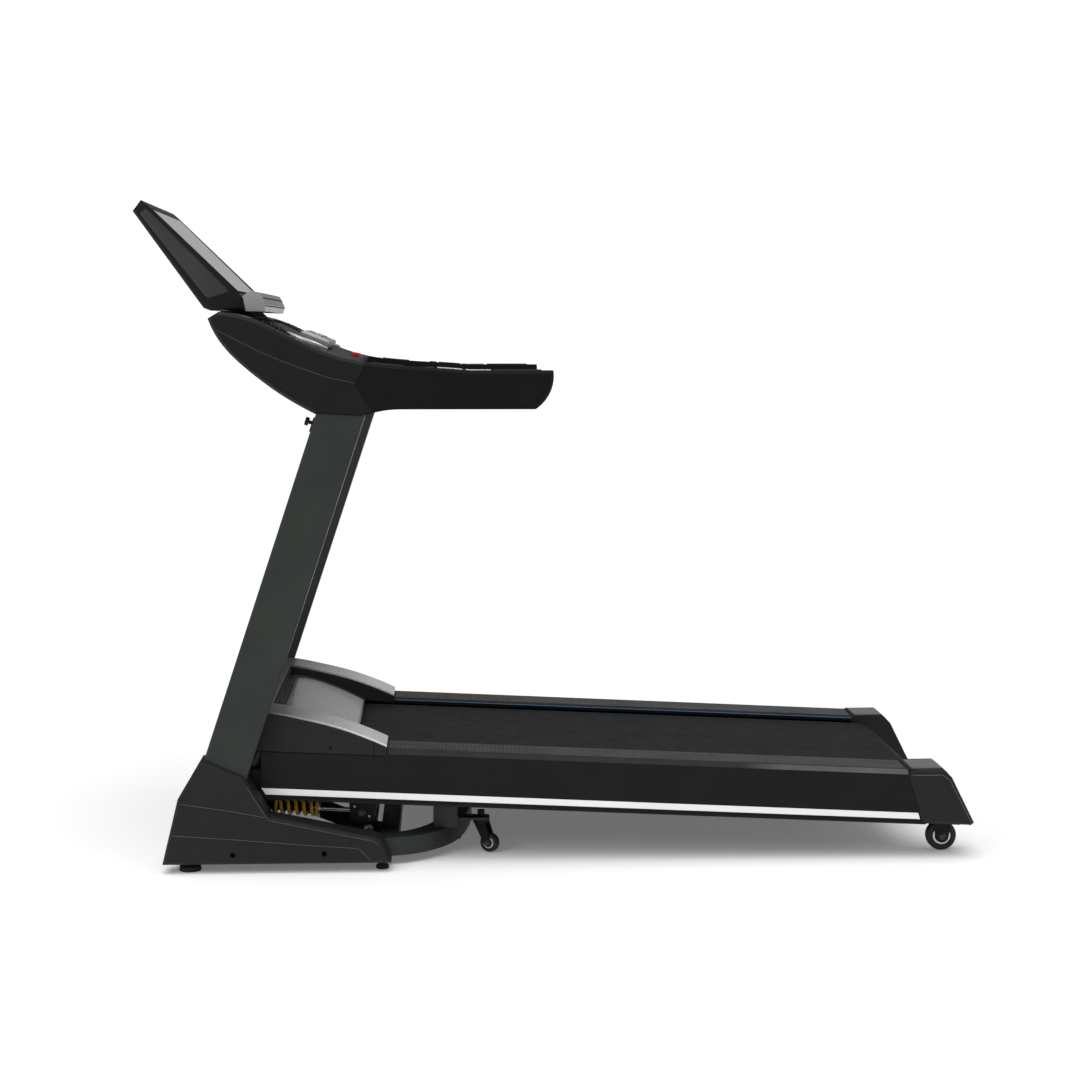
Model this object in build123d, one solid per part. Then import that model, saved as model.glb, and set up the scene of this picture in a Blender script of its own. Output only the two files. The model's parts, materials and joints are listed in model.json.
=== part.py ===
from build123d import *
import os
from math import atan2, cos, degrees, hypot, radians, sin, tan

# Folding motorised treadmill. X runs from the console (-X) to the belt's rear end (+X),
# Z is up, and the machine is symmetric about the XZ plane unless a comment says otherwise.
# The origin is on the floor, at the middle of the whole machine's box. Millimetres.

os.makedirs("parts", exist_ok=True)

# ---- Driving dimensions -------------------------------------------------------------
FIT = 0.06                      # radial running clearance of shafts and pins
WALL = 3                        # wall of moulded shells
TUBE_WALL = 2.5                 # wall of steel tubes

# Axes and slopes
FOLD_X, FOLD_Z = -683, 165      # fold shaft axis, at the deck's front end
LIFT_X, LIFT_Z = -420, 58       # axis on which the lift frame turns
DECK_SLOPE = 2.75               # nose-up slope of the lowered deck, degrees
SHAFT_R = 12.5                  # fold shaft
LIFT_PIN_R = 8                  # pins on which the lift frame turns

# Uprights, as seen from the side
UPRIGHT_Y = (400, 450)          # inner and outer face
UPRIGHT_TILT = 18.4             # lean from vertical, degrees, top towards the belt
UPRIGHT_WIDTH = 100             # across the tube, square to its length
UPRIGHT_TOP = 1046
UPRIGHT_FRONT = (-769, 239)     # a point on the front edge
KNOB_Z = 968                    # locking knob on the front edge

# Floor frame
FOOT_Z, FRAME_Z = 20, 60        # underside and top of the floor tubes
LEG_Y = (346, 400)
SIDE_TUBE_Y = (400, 446)
FRAME_FRONT = -838
U_START = -392                  # where the floor tubes begin to curve
U_CORNER = (123, 45)            # radius and turn of the curved tube's corners, degrees
U_FLANK = (233, 30)             # radius and turn of its flanks
CROSS_FRONT_X = (-838, -798)
CROSS_REAR_X = (-392, -352)
FRONT_FOOT = (-802, 423, 23)    # X, Y and radius
REAR_FOOT = (-386, 423, 13.5)

# Base covers and rest posts
COVER_Y = 465                   # outer face of a base cover
COVER_SIDE = [
    (-858, 20), (-823, 163), (-772, 249), (-678, 207), (-626, 123), (-400, 75), (-385, 67), (-366, 20),
]
COVER_HOLES = ((-706, 41), (-510, 42))
COVER_HOLE_R = 6
POST_X = (-276, -222)
POST_Y = (250, 304)
POST_TOP = 112
POST_PAD = 10                   # rubber pad on a rest post
CASTER_PLATE_Z = (74, 80)

# Side rails and deck frame, in the deck's own frame: U along, W square to it
RAIL_Y = (278, 392)             # inner and outer edge
RAIL_W = (-16.5, 104)           # lowest and highest
RAIL_U = (30, 1499)             # front and rear end
DECK_TUBE_Y = (345, 385)
DECK_TUBE_W = (-12, 48)
DECK_TUBE_U = (-55, 1560)
CROSS_U = ((-58, -28, 0), (415, 455, -12), (800, 840, -12), (1300, 1340, -12))
BRACKET_U = (300, 640, 1000, 1380)

# Running surface
BELT_TOP = 90                   # walking surface above the fold shaft
BELT_THICK = 2.4
BELT_HALF = 258                 # half of the belt's width
BELT_GAP = 0.35                 # clearance between the belt and what it runs over
BOARD_THICK = 18
BOARD_TOP = BELT_TOP - BELT_THICK - BELT_GAP
ROLLER_R = 29
ROLLER_HALF = 268
ROLLER_W = BOARD_TOP - ROLLER_R
FRONT_ROLLER_U = 215
REAR_ROLLER_U = 1472
AXLE_R = 8.5
CUSHION = (286, 15)             # Y and radius of the cushions under the board

# Drive, on the machine's -Y side
PULLEY_OUT = 300                # outer face of both pulleys
PULLEY_WIDE = 20
PULLEY_R = 33                   # on the front roller
MOTOR_PULLEY_R = 17
MOTOR_U, MOTOR_W = 72, 78
MOTOR_R = 46
MOTOR_SHAFT_R = 8
DRIVE_BELT_GAP, DRIVE_BELT_THICK = 0.4, 3

# Motor hood, in the deck's own frame
HOOD_END = 302
HOOD_LINE = [(-30, 168), (27, 177.5), (111, 167.5), (177, 154.7), (243, 135.8), (HOOD_END, 113.6)]
PANEL_LINE = [(47, 150), (104, 144), (152, 130), (203, 110), (232, 96)]
WELL_HALF = 274                 # half width of the well that holds the panel
PANEL_HALF = 250

# Wheels
WHEEL_R = 33.5                  # rear wheels
WHEEL_X, WHEEL_Y = 866.5, 306
WHEEL_AXLE_R = 5
CASTER_R = 21
CASTER_X, CASTER_Y = -169, 277  # swivel stem
CASTER_STEM_R = 6
CASTER_AXLE_Z = 22
CASTER_TRAIL = 22
CASTER_YAW = 28                 # swivel angle at rest, degrees
CASTER_AXLE_R = 4

# Strut, on the machine's -Y side, and incline motor
STRUT_Y = 325                   # centre plane of the strut
STRUT_PIN = (-676, 122)         # front pin, on the fold shaft's bracket
ROD_PIN = (-433, 106)           # rear pin, on the deck
STRUT_PIN_R = 5
ROD_EYE_R = 11.6                # hole round the rear pin, larger than the pin
SPRING_FROM, SPRING_TO = 49, 148
SPRING_R, SPRING_WIRE, SPRING_TURNS = 16, 3.2, 5.5
LEVER = 62                      # lever radius above the lift axis
LEVER_PIN_R = 6
SCREW_START = (-778, 46)        # pin on which the incline motor swings
SCREW_R = 11
ARM_Y = (262, 292)

# Upper body, as seen from the side
COWL_Y = (402, 456)             # side cowls and handles
UPPER_TOP = [(-722, 1204), (-644, 1185), (-558, 1144), (-472, 1110), (-340, 1090), (-192, 1080)]
UPPER_FRONT = [(-520, 988), (-589, 1027), (-658, 1078), (-710, 1128), (-745, 1190)]
CHEVRON = [(-417, 1091), (-437, 1051), (-414, 1010), (-397, 994)]
SEAM = 0.3                      # gap between a cowl and its handle
ROCKER_X = (-330, -290)         # pocket for the rocker on a handle
ROCKER_Y = (418, 440)
ROCKER_PIVOT_Z = 1079
PIVOT_R = 1.5
PULSE_Y = (412, 446)
PULSE_X = (-262, -202)
PULSE_LONG = 54

# Dash, cups and keys
DASH_Y = 401                    # half width of the dash between the cowls
DASH_LINE = [(-722, 1203), (-644, 1184), (-558, 1143), (-472, 1109), (-436, 1102)]
DASH_UNDER = [(-446, 1066), (-500, 1046), (-600, 1058), (-682, 1116), (-734, 1182)]
TRUSS = (-478, 1015, 17)        # X, Z and radius of the tube between the uprights
CUP_X, CUP_Y, CUP_R = -548, 275, 40
CUP_BOTTOM = 1075
KEY_TRAVEL = 1.5
POD = Pos(-541, 0, 1140) * Rot(0, 21.6, 0)
POD_PIVOT_W = 8                 # pivot of a rocker above the pod's plane
SAFETY = Pos(-452, 0, 1105) * Rot(0, 12, 0)
KEYS = {                        # Y, width along Y and depth of each key
    "stop_key": (-40, 30, 24),
    "start_key": (40, 30, 24),
    "speed_rocker": (104, 44, 22),
    "incline_rocker": (-104, 44, 22),
}

# Console
CONSOLE_Y = 282                 # half width
CONSOLE_SIDE = [
    (-922, 1423), (-772, 1214), (-757, 1208), (-681, 1210), (-688, 1238), (-895, 1440), (-904, 1447),
]
FACE_LOW, FACE_HIGH = CONSOLE_SIDE[4], CONSOLE_SIDE[5]
FACE_TILT = degrees(atan2(FACE_HIGH[1] - FACE_LOW[1], FACE_LOW[0] - FACE_HIGH[0]))
FACE = Pos((FACE_LOW[0] + FACE_HIGH[0]) / 2, 0, (FACE_LOW[1] + FACE_HIGH[1]) / 2) * Rot(0, FACE_TILT, 0)
GLASS_HALF = (130, 256)         # half of the display's seat, along the slope and across
CHIN_SIDE = [(-687, 1239), (-670, 1252), (-648, 1247), (-636, 1222), (-640, 1206), (-680.5, 1207)]


# ---- Helpers ------------------------------------------------------------------------
def block(x0, x1, y0, y1, z0, z1):
    """Box between two corners."""
    middle = Pos((x0 + x1) / 2, (y0 + y1) / 2, (z0 + z1) / 2)
    return middle * Box(x1 - x0, y1 - y0, z1 - z0)


def tube_x(x0, x1, y0, y1, z0, z1, wall=TUBE_WALL):
    """Open rectangular tube along X."""
    return block(x0, x1, y0, y1, z0, z1) - block(x0, x1, y0 + wall, y1 - wall, z0 + wall, z1 - wall)


def tube_y(x0, x1, y0, y1, z0, z1, wall=TUBE_WALL):
    """Open rectangular tube along Y."""
    return block(x0, x1, y0, y1, z0, z1) - block(x0 + wall, x1 - wall, y0, y1, z0 + wall, z1 - wall)


def rod_y(x, z, radius, y0, y1):
    """Cylinder along Y."""
    return Pos(x, (y0 + y1) / 2, z) * Rot(90, 0, 0) * Cylinder(radius, y1 - y0)


def ring_y(x, z, outer, inner, y0, y1):
    """Hollow cylinder along Y."""
    return rod_y(x, z, outer, y0, y1) - rod_y(x, z, inner, y0, y1)


def polygon(points):
    """Flat face through points."""
    return make_face(Polyline(*points, close=True))


def slab(face, y0, y1):
    """Extrude a face drawn in X and Z from y0 to y1."""
    return extrude(Plane.XZ.offset(-y0) * face, amount=-(y1 - y0))


def shrink(face, amount):
    """The same outline, moved inwards; a curved one in short straight steps."""
    wire = face.faces()[0].outer_wire()
    if any(edge.geom_type != GeomType.LINE for edge in wire.edges()):
        steps = 90
        face = make_face(Polyline(*[wire @ (i / steps) for i in range(steps)], close=True))
    return offset(face, amount=-amount, kind=Kind.INTERSECTION)


def link(x0, z0, x1, z1, width, y0, y1):
    """Flat bar with round ends from one XZ point to another."""
    middle = Location(((x0 + x1) / 2, (y0 + y1) / 2, (z0 + z1) / 2))
    angle = degrees(atan2(z1 - z0, x1 - x0))
    bar = Box(hypot(x1 - x0, z1 - z0), y1 - y0, width)
    ends = rod_y(x0, z0, width / 2, y0, y1) + rod_y(x1, z1, width / 2, y0, y1)
    return middle * Rot(0, -angle, 0) * bar + ends


def pair(*shapes):
    """Shapes with their mirror images on the other side of the machine."""
    return [*shapes, *[mirror(shape, about=Plane.XZ) for shape in shapes]]


DECK = Pos(FOLD_X, 0, FOLD_Z) * Rot(0, DECK_SLOPE, 0)


def on_deck(*shapes):
    """Place shapes drawn in the deck's own frame: along, across and square to the deck."""
    return [DECK * shape for shape in shapes]


def save(node, *shapes):
    """Write one sub-part, as the separate solids that it is made of."""
    solids = []
    for shape in shapes:
        solids.extend(shape.solids())
    export_step(Compound(solids), f"parts/{node}.step")


# ---- Base: floor frame --------------------------------------------------------------
def base_frame_tubes():
    tall = (FOOT_Z, FRAME_Z)
    leg = tube_x(FRAME_FRONT, U_START, *LEG_Y, *tall)
    y0, y1 = SIDE_TUBE_Y
    rear_low = U_START + 15
    cut = polygon([(FRAME_FRONT, FOOT_Z), (rear_low, FOOT_Z), (U_START, FRAME_Z), (FRAME_FRONT, FRAME_Z)])
    low, high = FOOT_Z + TUBE_WALL, FRAME_Z - TUBE_WALL
    hollow = block(FRAME_FRONT - 2, rear_low + 17, y0 + TUBE_WALL, y1 - TUBE_WALL, low, high)
    side = slab(cut, y0, y1) - hollow
    front = tube_y(*CROSS_FRONT_X, -LEG_Y[0], LEG_Y[0], *tall)
    rear = tube_y(*CROSS_REAR_X, -LEG_Y[0], LEG_Y[0], *tall)
    half = u_tube_half(0)
    rear = rear - half - mirror(half, about=Plane.XZ)
    save("base_frame_tubes", *pair(leg, side), front, rear)


def curved_path(start, steps):
    """Tangent arcs from a point heading +X; steps are (radius, turn in degrees)."""
    edges = []
    x, y = start
    heading = 0.0
    for radius, turn in steps:
        points = []
        for part in (0.5, 1.0):
            angle = radians(heading + turn * part)
            first = radians(heading)
            points.append((x + radius * (sin(angle) - sin(first)), y + radius * (cos(first) - cos(angle))))
        edges.append(ThreePointArc((x, y), points[0], points[1]))
        x, y = points[1]
        heading += turn
    return edges


def u_tube_half(wall):
    """Half of the curved tube, smaller all round by wall."""
    middle_y = (LEG_Y[0] + LEG_Y[1]) / 2
    middle_z = (FOOT_Z + FRAME_Z) / 2
    (corner, corner_turn), (flank, flank_turn) = U_CORNER, U_FLANK
    first, second = radians(corner_turn), radians(corner_turn + flank_turn)
    run = corner * (1 - cos(first)) + flank * (cos(first) - cos(second))
    back = (middle_y - run) / cos(second)
    bends = [U_CORNER, U_FLANK, (back, 90 - corner_turn - flank_turn)]
    path = Wire([Pos(0, 0, middle_z) * edge for edge in curved_path((U_START, -middle_y), bends)])
    plane = Plane(origin=(U_START, -middle_y, middle_z), x_dir=(0, 1, 0), z_dir=(1, 0, 0))
    section = Rectangle(LEG_Y[1] - LEG_Y[0] - 2 * wall, FRAME_Z - FOOT_Z - 2 * wall)
    return sweep(plane * section, path=path)


def base_u_tube():
    tube = u_tube_half(0) - u_tube_half(TUBE_WALL)
    save("base_u_tube", tube + mirror(tube, about=Plane.XZ))


def lift_brackets():
    """A plate outside each lift arm, standing on the rear cross tube, with its pin."""
    y0, y1 = 295, 303
    front, clear = CROSS_REAR_X[0] - 0.4, CROSS_REAR_X[1] - 0.5
    foot = [(-356, 66), (clear, FRAME_Z), (front, FRAME_Z), (front, 40)]
    plate = slab(polygon([(-440, 44), (-436, 76), (-404, 76), *foot]), y0, y1)
    boss = rod_y(LIFT_X, LIFT_Z, 19, y0, y1)
    pin = rod_y(LIFT_X, LIFT_Z, LIFT_PIN_R, 250, y1) + rod_y(LIFT_X, LIFT_Z, 13, y1, y1 + 4)
    save("lift_brackets", *pair(plate + boss + pin), screw_bracket())


def screw_bracket():
    """Two ears on the front cross tube, with the pin on which the incline motor swings."""
    x, z = SCREW_START
    half_gap, thick, radius = 12, 6, 12
    tube_face = CROSS_FRONT_X[1]
    ears = rod_y(x, z, LEVER_PIN_R, -half_gap - thick - 2, half_gap + thick + 2)
    for y0 in (-half_gap - thick, half_gap):
        shape = polygon([(tube_face, 24), (tube_face, FRAME_Z), (x, z + radius), (x, z - radius)])
        ears = ears + slab(shape, y0, y0 + thick) + rod_y(x, z, radius, y0, y0 + thick)
    return ears


def deck_rest_posts():
    """Short posts on the curved tube, each with the bracket that holds a caster."""
    (x0, x1), (y0, y1) = POST_X, POST_Y
    post = block(x0, x1, y0, y1, FRAME_Z, POST_TOP)
    post = post - block(x0 + WALL, x1 - WALL, y0 + WALL, y1 - WALL, FRAME_Z, POST_TOP - WALL)
    plate = block(x1, -150, CASTER_Y - 20, CASTER_Y + 20, *CASTER_PLATE_Z)
    plate = fillet(plate.edges().filter_by(Axis.Z).sort_by(Axis.X)[-2:], 14)
    shape = polygon([(x1, 74), (-198, 74), (-206, 56), (-214, 44), (-214, 30), (-220, 28), (x1, FRAME_Z)])
    web = slab(shape, CASTER_Y - 4, CASTER_Y + 4)
    stem_hole = Pos(CASTER_X, CASTER_Y, 77) * Cylinder(CASTER_STEM_R + FIT, 20)
    save("deck_rest_posts", *pair(post + plate + web - stem_hole))


def foot(place, pad_high):
    """Screwed foot: a round pad with a tapering neck."""
    x, y, radius = place
    neck = FOOT_Z - pad_high
    pad = Pos(x, y, pad_high / 2) * Cylinder(radius, pad_high)
    return pad + Pos(x, y, pad_high + neck / 2) * Cone(radius * 0.8, radius * 0.5, neck)


def rubber_feet():
    (x0, x1), (y0, y1) = POST_X, POST_Y
    inset = 2
    pad = block(x0 + inset, x1 - inset, y0 + inset, y1 - inset, POST_TOP, POST_TOP + POST_PAD)
    pad = fillet(pad.edges().group_by(Axis.Z)[-1], 4)
    save("rubber_feet", *pair(foot(FRONT_FOOT, 10), foot(REAR_FOOT, 8), pad))


# ---- Base: covers and uprights ------------------------------------------------------
def upright_outline(grow=0.0, bottom=FRAME_Z, top=UPRIGHT_TOP):
    """Side view of an upright, cut level at both ends."""
    lean = tan(radians(UPRIGHT_TILT))
    across = (UPRIGHT_WIDTH + 2 * grow) / cos(radians(UPRIGHT_TILT))
    x0, z0 = UPRIGHT_FRONT
    start = x0 - grow / cos(radians(UPRIGHT_TILT))
    low = start + (bottom - z0) * lean
    high = start + (top - z0) * lean
    return polygon([(low, bottom), (low + across, bottom), (high + across, top), (high, top)])


def uprights():
    solid = slab(upright_outline(), *UPRIGHT_Y)
    rising = [e for e in solid.edges() if abs(e.tangent_at(0).Z) > 0.5 and abs(e.tangent_at(0).Y) < 0.1]
    solid = fillet(rising, 5)
    inner = upright_outline(-TUBE_WALL, FRAME_Z - 5, UPRIGHT_TOP + 5)
    hollow = slab(inner, UPRIGHT_Y[0] + TUBE_WALL, UPRIGHT_Y[1] - TUBE_WALL)
    save("uprights", *pair(solid - hollow))


def base_covers():
    face = polygon(COVER_SIDE)
    inner_y, open_y = 400.5, 398
    outer = slab(face, inner_y, COVER_Y)
    rim = outer.faces().sort_by(Axis.Y)[-1]
    outer = chamfer(rim.edges(), 7, 5)
    inside = slab(shrink(face, WALL), open_y, COVER_Y - 2 * WALL)
    bottom = block(-853, -374, open_y, COVER_Y - 3 * WALL, 10, FOOT_Z + 4)
    through = slab(upright_outline(0.4, 100, 400), open_y, UPRIGHT_Y[1] + 0.4)
    cover = outer - inside - bottom - through
    for x, z in COVER_HOLES:
        cover = cover - rod_y(x, z, COVER_HOLE_R, COVER_Y - 10, COVER_Y + 5)
    save("base_covers", *pair(cover))


def upright_knobs():
    """Locking screw with its tab, at the top front of each upright."""
    x = UPRIGHT_FRONT[0] + (KNOB_Z - UPRIGHT_FRONT[1]) * tan(radians(UPRIGHT_TILT))
    tab = block(-3, 0, -11, 11, -19, 12)
    shank = Pos(-6, 0, 0) * Rot(0, 90, 0) * Cylinder(4, 9)
    head = Pos(-14, 0, 0) * Rot(0, 90, 0) * Cylinder(9, 8)
    middle = (UPRIGHT_Y[0] + UPRIGHT_Y[1]) / 2
    knob = Pos(x, middle, KNOB_Z) * Rot(0, UPRIGHT_TILT, 0) * (tab + shank + head)
    save("upright_knobs", *pair(knob))


# ---- Upper body ---------------------------------------------------------------------
def upper_outline():
    """Side view of a cowl and handle together."""
    front_top, rear_top = UPPER_TOP[0], UPPER_TOP[-1]
    front_low, front_high = UPPER_FRONT[0], UPPER_FRONT[-1]
    tail, under, throat = (-15, 1080), (-53, 998), (-341, 998)
    foot_end = (-424, 982)
    edges = [Spline(*UPPER_TOP), Line(rear_top, tail), ThreePointArc(tail, (-21, 1036), under)]
    edges += [Line(under, throat), Spline(throat, (-388, 993), foot_end), Line(foot_end, front_low)]
    edges += [Spline(*UPPER_FRONT), Line(front_high, front_top)]
    return make_face(edges)


def seam_cut(ahead):
    """Side view of everything ahead of the chevron seam, or behind it."""
    low, high, gap = 950, 1250, 0 if ahead else SEAM
    line = [(x + gap, z) for x, z in CHEVRON]
    far = -800 if ahead else 0
    points = [(far, low), (far, high), (line[0][0], high), *line, (line[-1][0], low)]
    return slab(polygon(points), 380, 480)


def side_uppers():
    """Side cowls ahead of the chevron seam, and handles behind it."""
    outer = slab(upper_outline(), *COWL_Y)
    rim = outer.faces().sort_by(Axis.Y)[-1]
    outer = chamfer(rim.edges(), 8, 6)
    inside = slab(shrink(upper_outline(), WALL), COWL_Y[0] + WALL, COWL_Y[1] - 7)
    shell = outer - inside - slab(upright_outline(0.4, 900, UPRIGHT_TOP + 0.5), 398, UPRIGHT_Y[1] + 0.4)
    save("side_cowls", *pair(shell & seam_cut(True)))
    handle = shell & seam_cut(False)
    handle = handle - block(*ROCKER_X, *ROCKER_Y, 1070, 1110) + rocker_ears()
    save("handles", *pair(handle))
    raised, sunk = 2.2, 0.2
    body = Pos(0, 0, raised) * slab(upper_outline(), *PULSE_Y)
    skin = body - Pos(0, 0, sunk) * slab(upper_outline(), COWL_Y[0], 460)
    plates = [skin & block(x, x + PULSE_LONG, *PULSE_Y, 1070, 1100) for x in PULSE_X]
    save("pulse_plates", *pair(*plates))


def rocker_ears():
    """Two ears under a handle's top, with the pin on which its rocker tilts."""
    middle = (ROCKER_X[0] + ROCKER_X[1]) / 2
    ears = rod_y(middle, ROCKER_PIVOT_Z, PIVOT_R, ROCKER_Y[0] - 2, ROCKER_Y[1] + 2)
    for y0 in (ROCKER_Y[0] - 2.5, ROCKER_Y[1]):
        ears = ears + block(middle - 5, middle + 5, y0, y0 + 2.5, ROCKER_PIVOT_Z - 4, 1086.5)
    return ears


def dash_curve(drop=0.0):
    """Line of the dash's top, seen from the side."""
    return [(x, z - drop) for x, z in DASH_LINE]


def dash_slope():
    """Angle of the dash's surface below level, near its middle."""
    (x0, z0), (x1, z1) = DASH_LINE[2], DASH_LINE[3]
    return degrees(atan2(z0 - z1, x1 - x0))


def under_curve(points, corners):
    """Side view between a smooth line and corners that lead back to its start."""
    path = [points[-1], *corners, points[0]]
    return make_face([Spline(*points), *[Line(a, b) for a, b in zip(path, path[1:])]])


def band(high, low):
    """Side view between two smooth lines."""
    return make_face([Spline(*high), Line(high[-1], low[-1]), Spline(*low), Line(low[0], high[0])])


def dash():
    line = dash_curve(4.3)
    face = make_face([Spline(*line), Spline(line[-1], *DASH_UNDER), Line(DASH_UNDER[-1], line[0])])
    inner = DASH_Y - WALL
    outer = slab(face, -DASH_Y, DASH_Y)
    inside = slab(shrink(face, WALL), -inner, inner)
    opening = slab(under_curve(dash_curve(), [(-446, 1092), (-470, 1096), (-700, 1192)]), -inner, inner)
    save("dash_pan", outer - inside - opening)

    top = dash_skin()
    for side in (-1, 1):
        top = top - Pos(CUP_X, side * CUP_Y, 1140) * Cylinder(CUP_R + 3.2, 120)
    top = top - POD * block(-27, 27, -142, 142, -40, 20)
    top = top - SAFETY * Cylinder(7.5, 40)
    save("dash_top", top)


def dash_skin():
    """The dash's top, before its openings are cut."""
    return slab(band(dash_curve(), dash_curve(4)), -DASH_Y, DASH_Y)


def console_frame():
    """Steel tube between the uprights, just under the dash."""
    x, z, radius = TRUSS
    save("console_frame", ring_y(x, z, radius, radius - TUBE_WALL, -UPRIGHT_Y[0], UPRIGHT_Y[0]))


def cup_holders():
    """Cups through the dash, each with a sloping ring round its mouth."""
    low, high = CUP_BOTTOM - WALL, 1170
    place = Pos(CUP_X, CUP_Y, 1142) * Rot(0, dash_slope(), 0)
    cup = Pos(CUP_X, CUP_Y, (low + high) / 2) * Cylinder(CUP_R + WALL, high - low)
    cup = cup - place * block(-90, 90, -90, 90, 2, 90)
    lip = place * (Pos(0, 0, -0.5) * Cylinder(CUP_R + 9, 5)) - dash_skin()
    lip = lip.solids().sort_by(SortBy.VOLUME)[-1]
    deep = high + 40 - CUP_BOTTOM
    cup = cup + lip - Pos(CUP_X, CUP_Y, CUP_BOTTOM + deep / 2) * Cylinder(CUP_R, deep)
    save("cup_holders", *pair(cup))


def control_pod():
    """Key pod on the dash, with its two press keys and two rockers."""
    gap, key_low, key_high = 0.4, 4.4 + KEY_TRAVEL, 16.5
    pod = block(-34, 34, -150, 150, 2.5, 14) + block(-26, 26, -141, 141, -8, 2.5)
    pod = fillet(pod.edges().group_by(Axis.Z)[-1], 5)
    pivots = {}
    for name, (y, wide, deep) in KEYS.items():
        pod = pod - block(-deep / 2 - gap, deep / 2 + gap, y - wide / 2 - gap, y + wide / 2 + gap, 4, 20)
        if name.endswith("rocker"):
            pivots[name] = Pos(0, y, POD_PIVOT_W) * Rot(0, 90, 0)
            pod = pod + pivots[name] * Cylinder(PIVOT_R, deep + 3)
    save("control_pod", POD * pod)
    for name, (y, wide, deep) in KEYS.items():
        key = block(-deep / 2, deep / 2, y - wide / 2, y + wide / 2, key_low, key_high)
        key = fillet(key.edges().group_by(Axis.Z)[-1], 2)
        if name in pivots:
            key = key - pivots[name] * Cylinder(PIVOT_R + FIT, deep + 3)
        save(name, POD * key)


def safety_key():
    key = Pos(0, 0, 3) * Cylinder(13, 5) + Pos(0, 0, -5) * Cylinder(7, 12)
    save("safety_key", SAFETY * key)


def handle_rockers():
    gap, low, high = 0.5, ROCKER_PIVOT_Z - 4, 1086
    (x0, x1), (y0, y1) = ROCKER_X, ROCKER_Y
    rocker = block(x0 + gap, x1 - gap, y0 + gap, y1 - gap, low, high)
    rocker = fillet(rocker.edges().group_by(Axis.Z)[-1], 2)
    rocker = rocker - rod_y((x0 + x1) / 2, ROCKER_PIVOT_Z, PIVOT_R + FIT, y0 - 1, y1 + 1)
    save("speed_handle_rocker", rocker)
    save("incline_handle_rocker", mirror(rocker, about=Plane.XZ))


def console():
    """Display housing with its glass, the ledge below the glass, and the neck under it."""
    side = polygon(CONSOLE_SIDE)
    body = slab(side, -CONSOLE_Y, CONSOLE_Y)
    ends = body.faces().sort_by(Axis.Y)
    body = chamfer([*ends[0].edges(), *ends[-1].edges()], 5)
    inner = CONSOLE_Y - 2 * WALL
    long, wide = GLASS_HALF
    shell = body - slab(shrink(side, WALL), -inner, inner)
    save("console_housing", shell - FACE * block(-long, long, -wide, wide, -20, 5))
    gap, glass_thick = 0.4, 4
    glass = block(gap - long, long - gap, gap - wide, wide - gap, -glass_thick, 0)
    save("display_glass", FACE * glass)
    housing = slab(side, -CONSOLE_Y - 18, CONSOLE_Y + 18)
    save("console_chin", slab(polygon(CHIN_SIDE), -CONSOLE_Y + 6, CONSOLE_Y - 6) - housing)
    neck_half = 190
    side = polygon([(-750, 1196), (-744, 1208.8), (-684, 1209.6), (-668, 1194), (-700, 1190)])
    neck = slab(side, -neck_half, neck_half)
    line = dash_curve(-0.2)
    below = under_curve(line, [(line[-1][0], 1000), (-900, 1000), (-900, 1187)])
    save("console_neck", neck - slab(below, -neck_half - 10, neck_half + 10) - housing)


# ---- Deck ---------------------------------------------------------------------------
def deck_frame():
    y0, y1 = DECK_TUBE_Y
    side = tube_x(*DECK_TUBE_U, y0, y1, *DECK_TUBE_W) - rod_y(0, 0, SHAFT_R + FIT, 300, 400)
    tubes = pair(side)
    for u0, u1, w0 in CROSS_U:
        tubes.append(tube_y(u0, u1, -y0, y0, w0, w0 + 30))
    for u in BRACKET_U:
        tubes.extend(pair(block(u - 25, u + 25, 270, y0, DECK_TUBE_W[1] - 2, DECK_TUBE_W[1] + 2)))
    save("deck_frame", *on_deck(*tubes), strut_lug())


def strut_lug():
    """Two plates under the deck that hold the strut's rear pin."""
    x, z = ROD_PIN
    back, front = x + 26, x - 28
    shape = [(front, z + 30), (front + 2, z - 12), (x - 12, z - 22), (x + 22, z - 22)]
    shape += [(back, z - 6), (back, z + 30)]
    top = polygon([(front, z + 26), (back, z + 23.4), (back, z + 29.4), (front, z + 32)])
    top = slab(top, -371, -306)
    ears = slab(polygon(shape), -312, -306) + slab(polygon(shape), -350, -344)
    return top + ears + rod_y(x, z, STRUT_PIN_R, -353, -303)


def running_surface():
    """Board, its rubber cushions, and the belt round both rollers."""
    board = block(262, 1425, -302, 302, BOARD_TOP - BOARD_THICK, BOARD_TOP)
    save("running_board", *on_deck(board))
    y, radius = CUSHION
    low, high = DECK_TUBE_W[1] + 2, BOARD_TOP - BOARD_THICK
    cushions = [Pos(u, y, (low + high) / 2) * Cylinder(radius, high - low) for u in BRACKET_U]
    save("deck_cushions", *on_deck(*pair(*cushions)))
    inner_r = ROLLER_R + BELT_GAP
    save("running_belt", *on_deck(belt_loop(inner_r + BELT_THICK) - belt_loop(inner_r)))


def belt_loop(radius):
    """Solid round both rollers."""
    ends = rod_y(FRONT_ROLLER_U, ROLLER_W, radius, -BELT_HALF, BELT_HALF)
    ends = ends + rod_y(REAR_ROLLER_U, ROLLER_W, radius, -BELT_HALF, BELT_HALF)
    flat = block(FRONT_ROLLER_U, REAR_ROLLER_U, -BELT_HALF, BELT_HALF, ROLLER_W - radius, ROLLER_W + radius)
    return ends + flat


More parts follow.
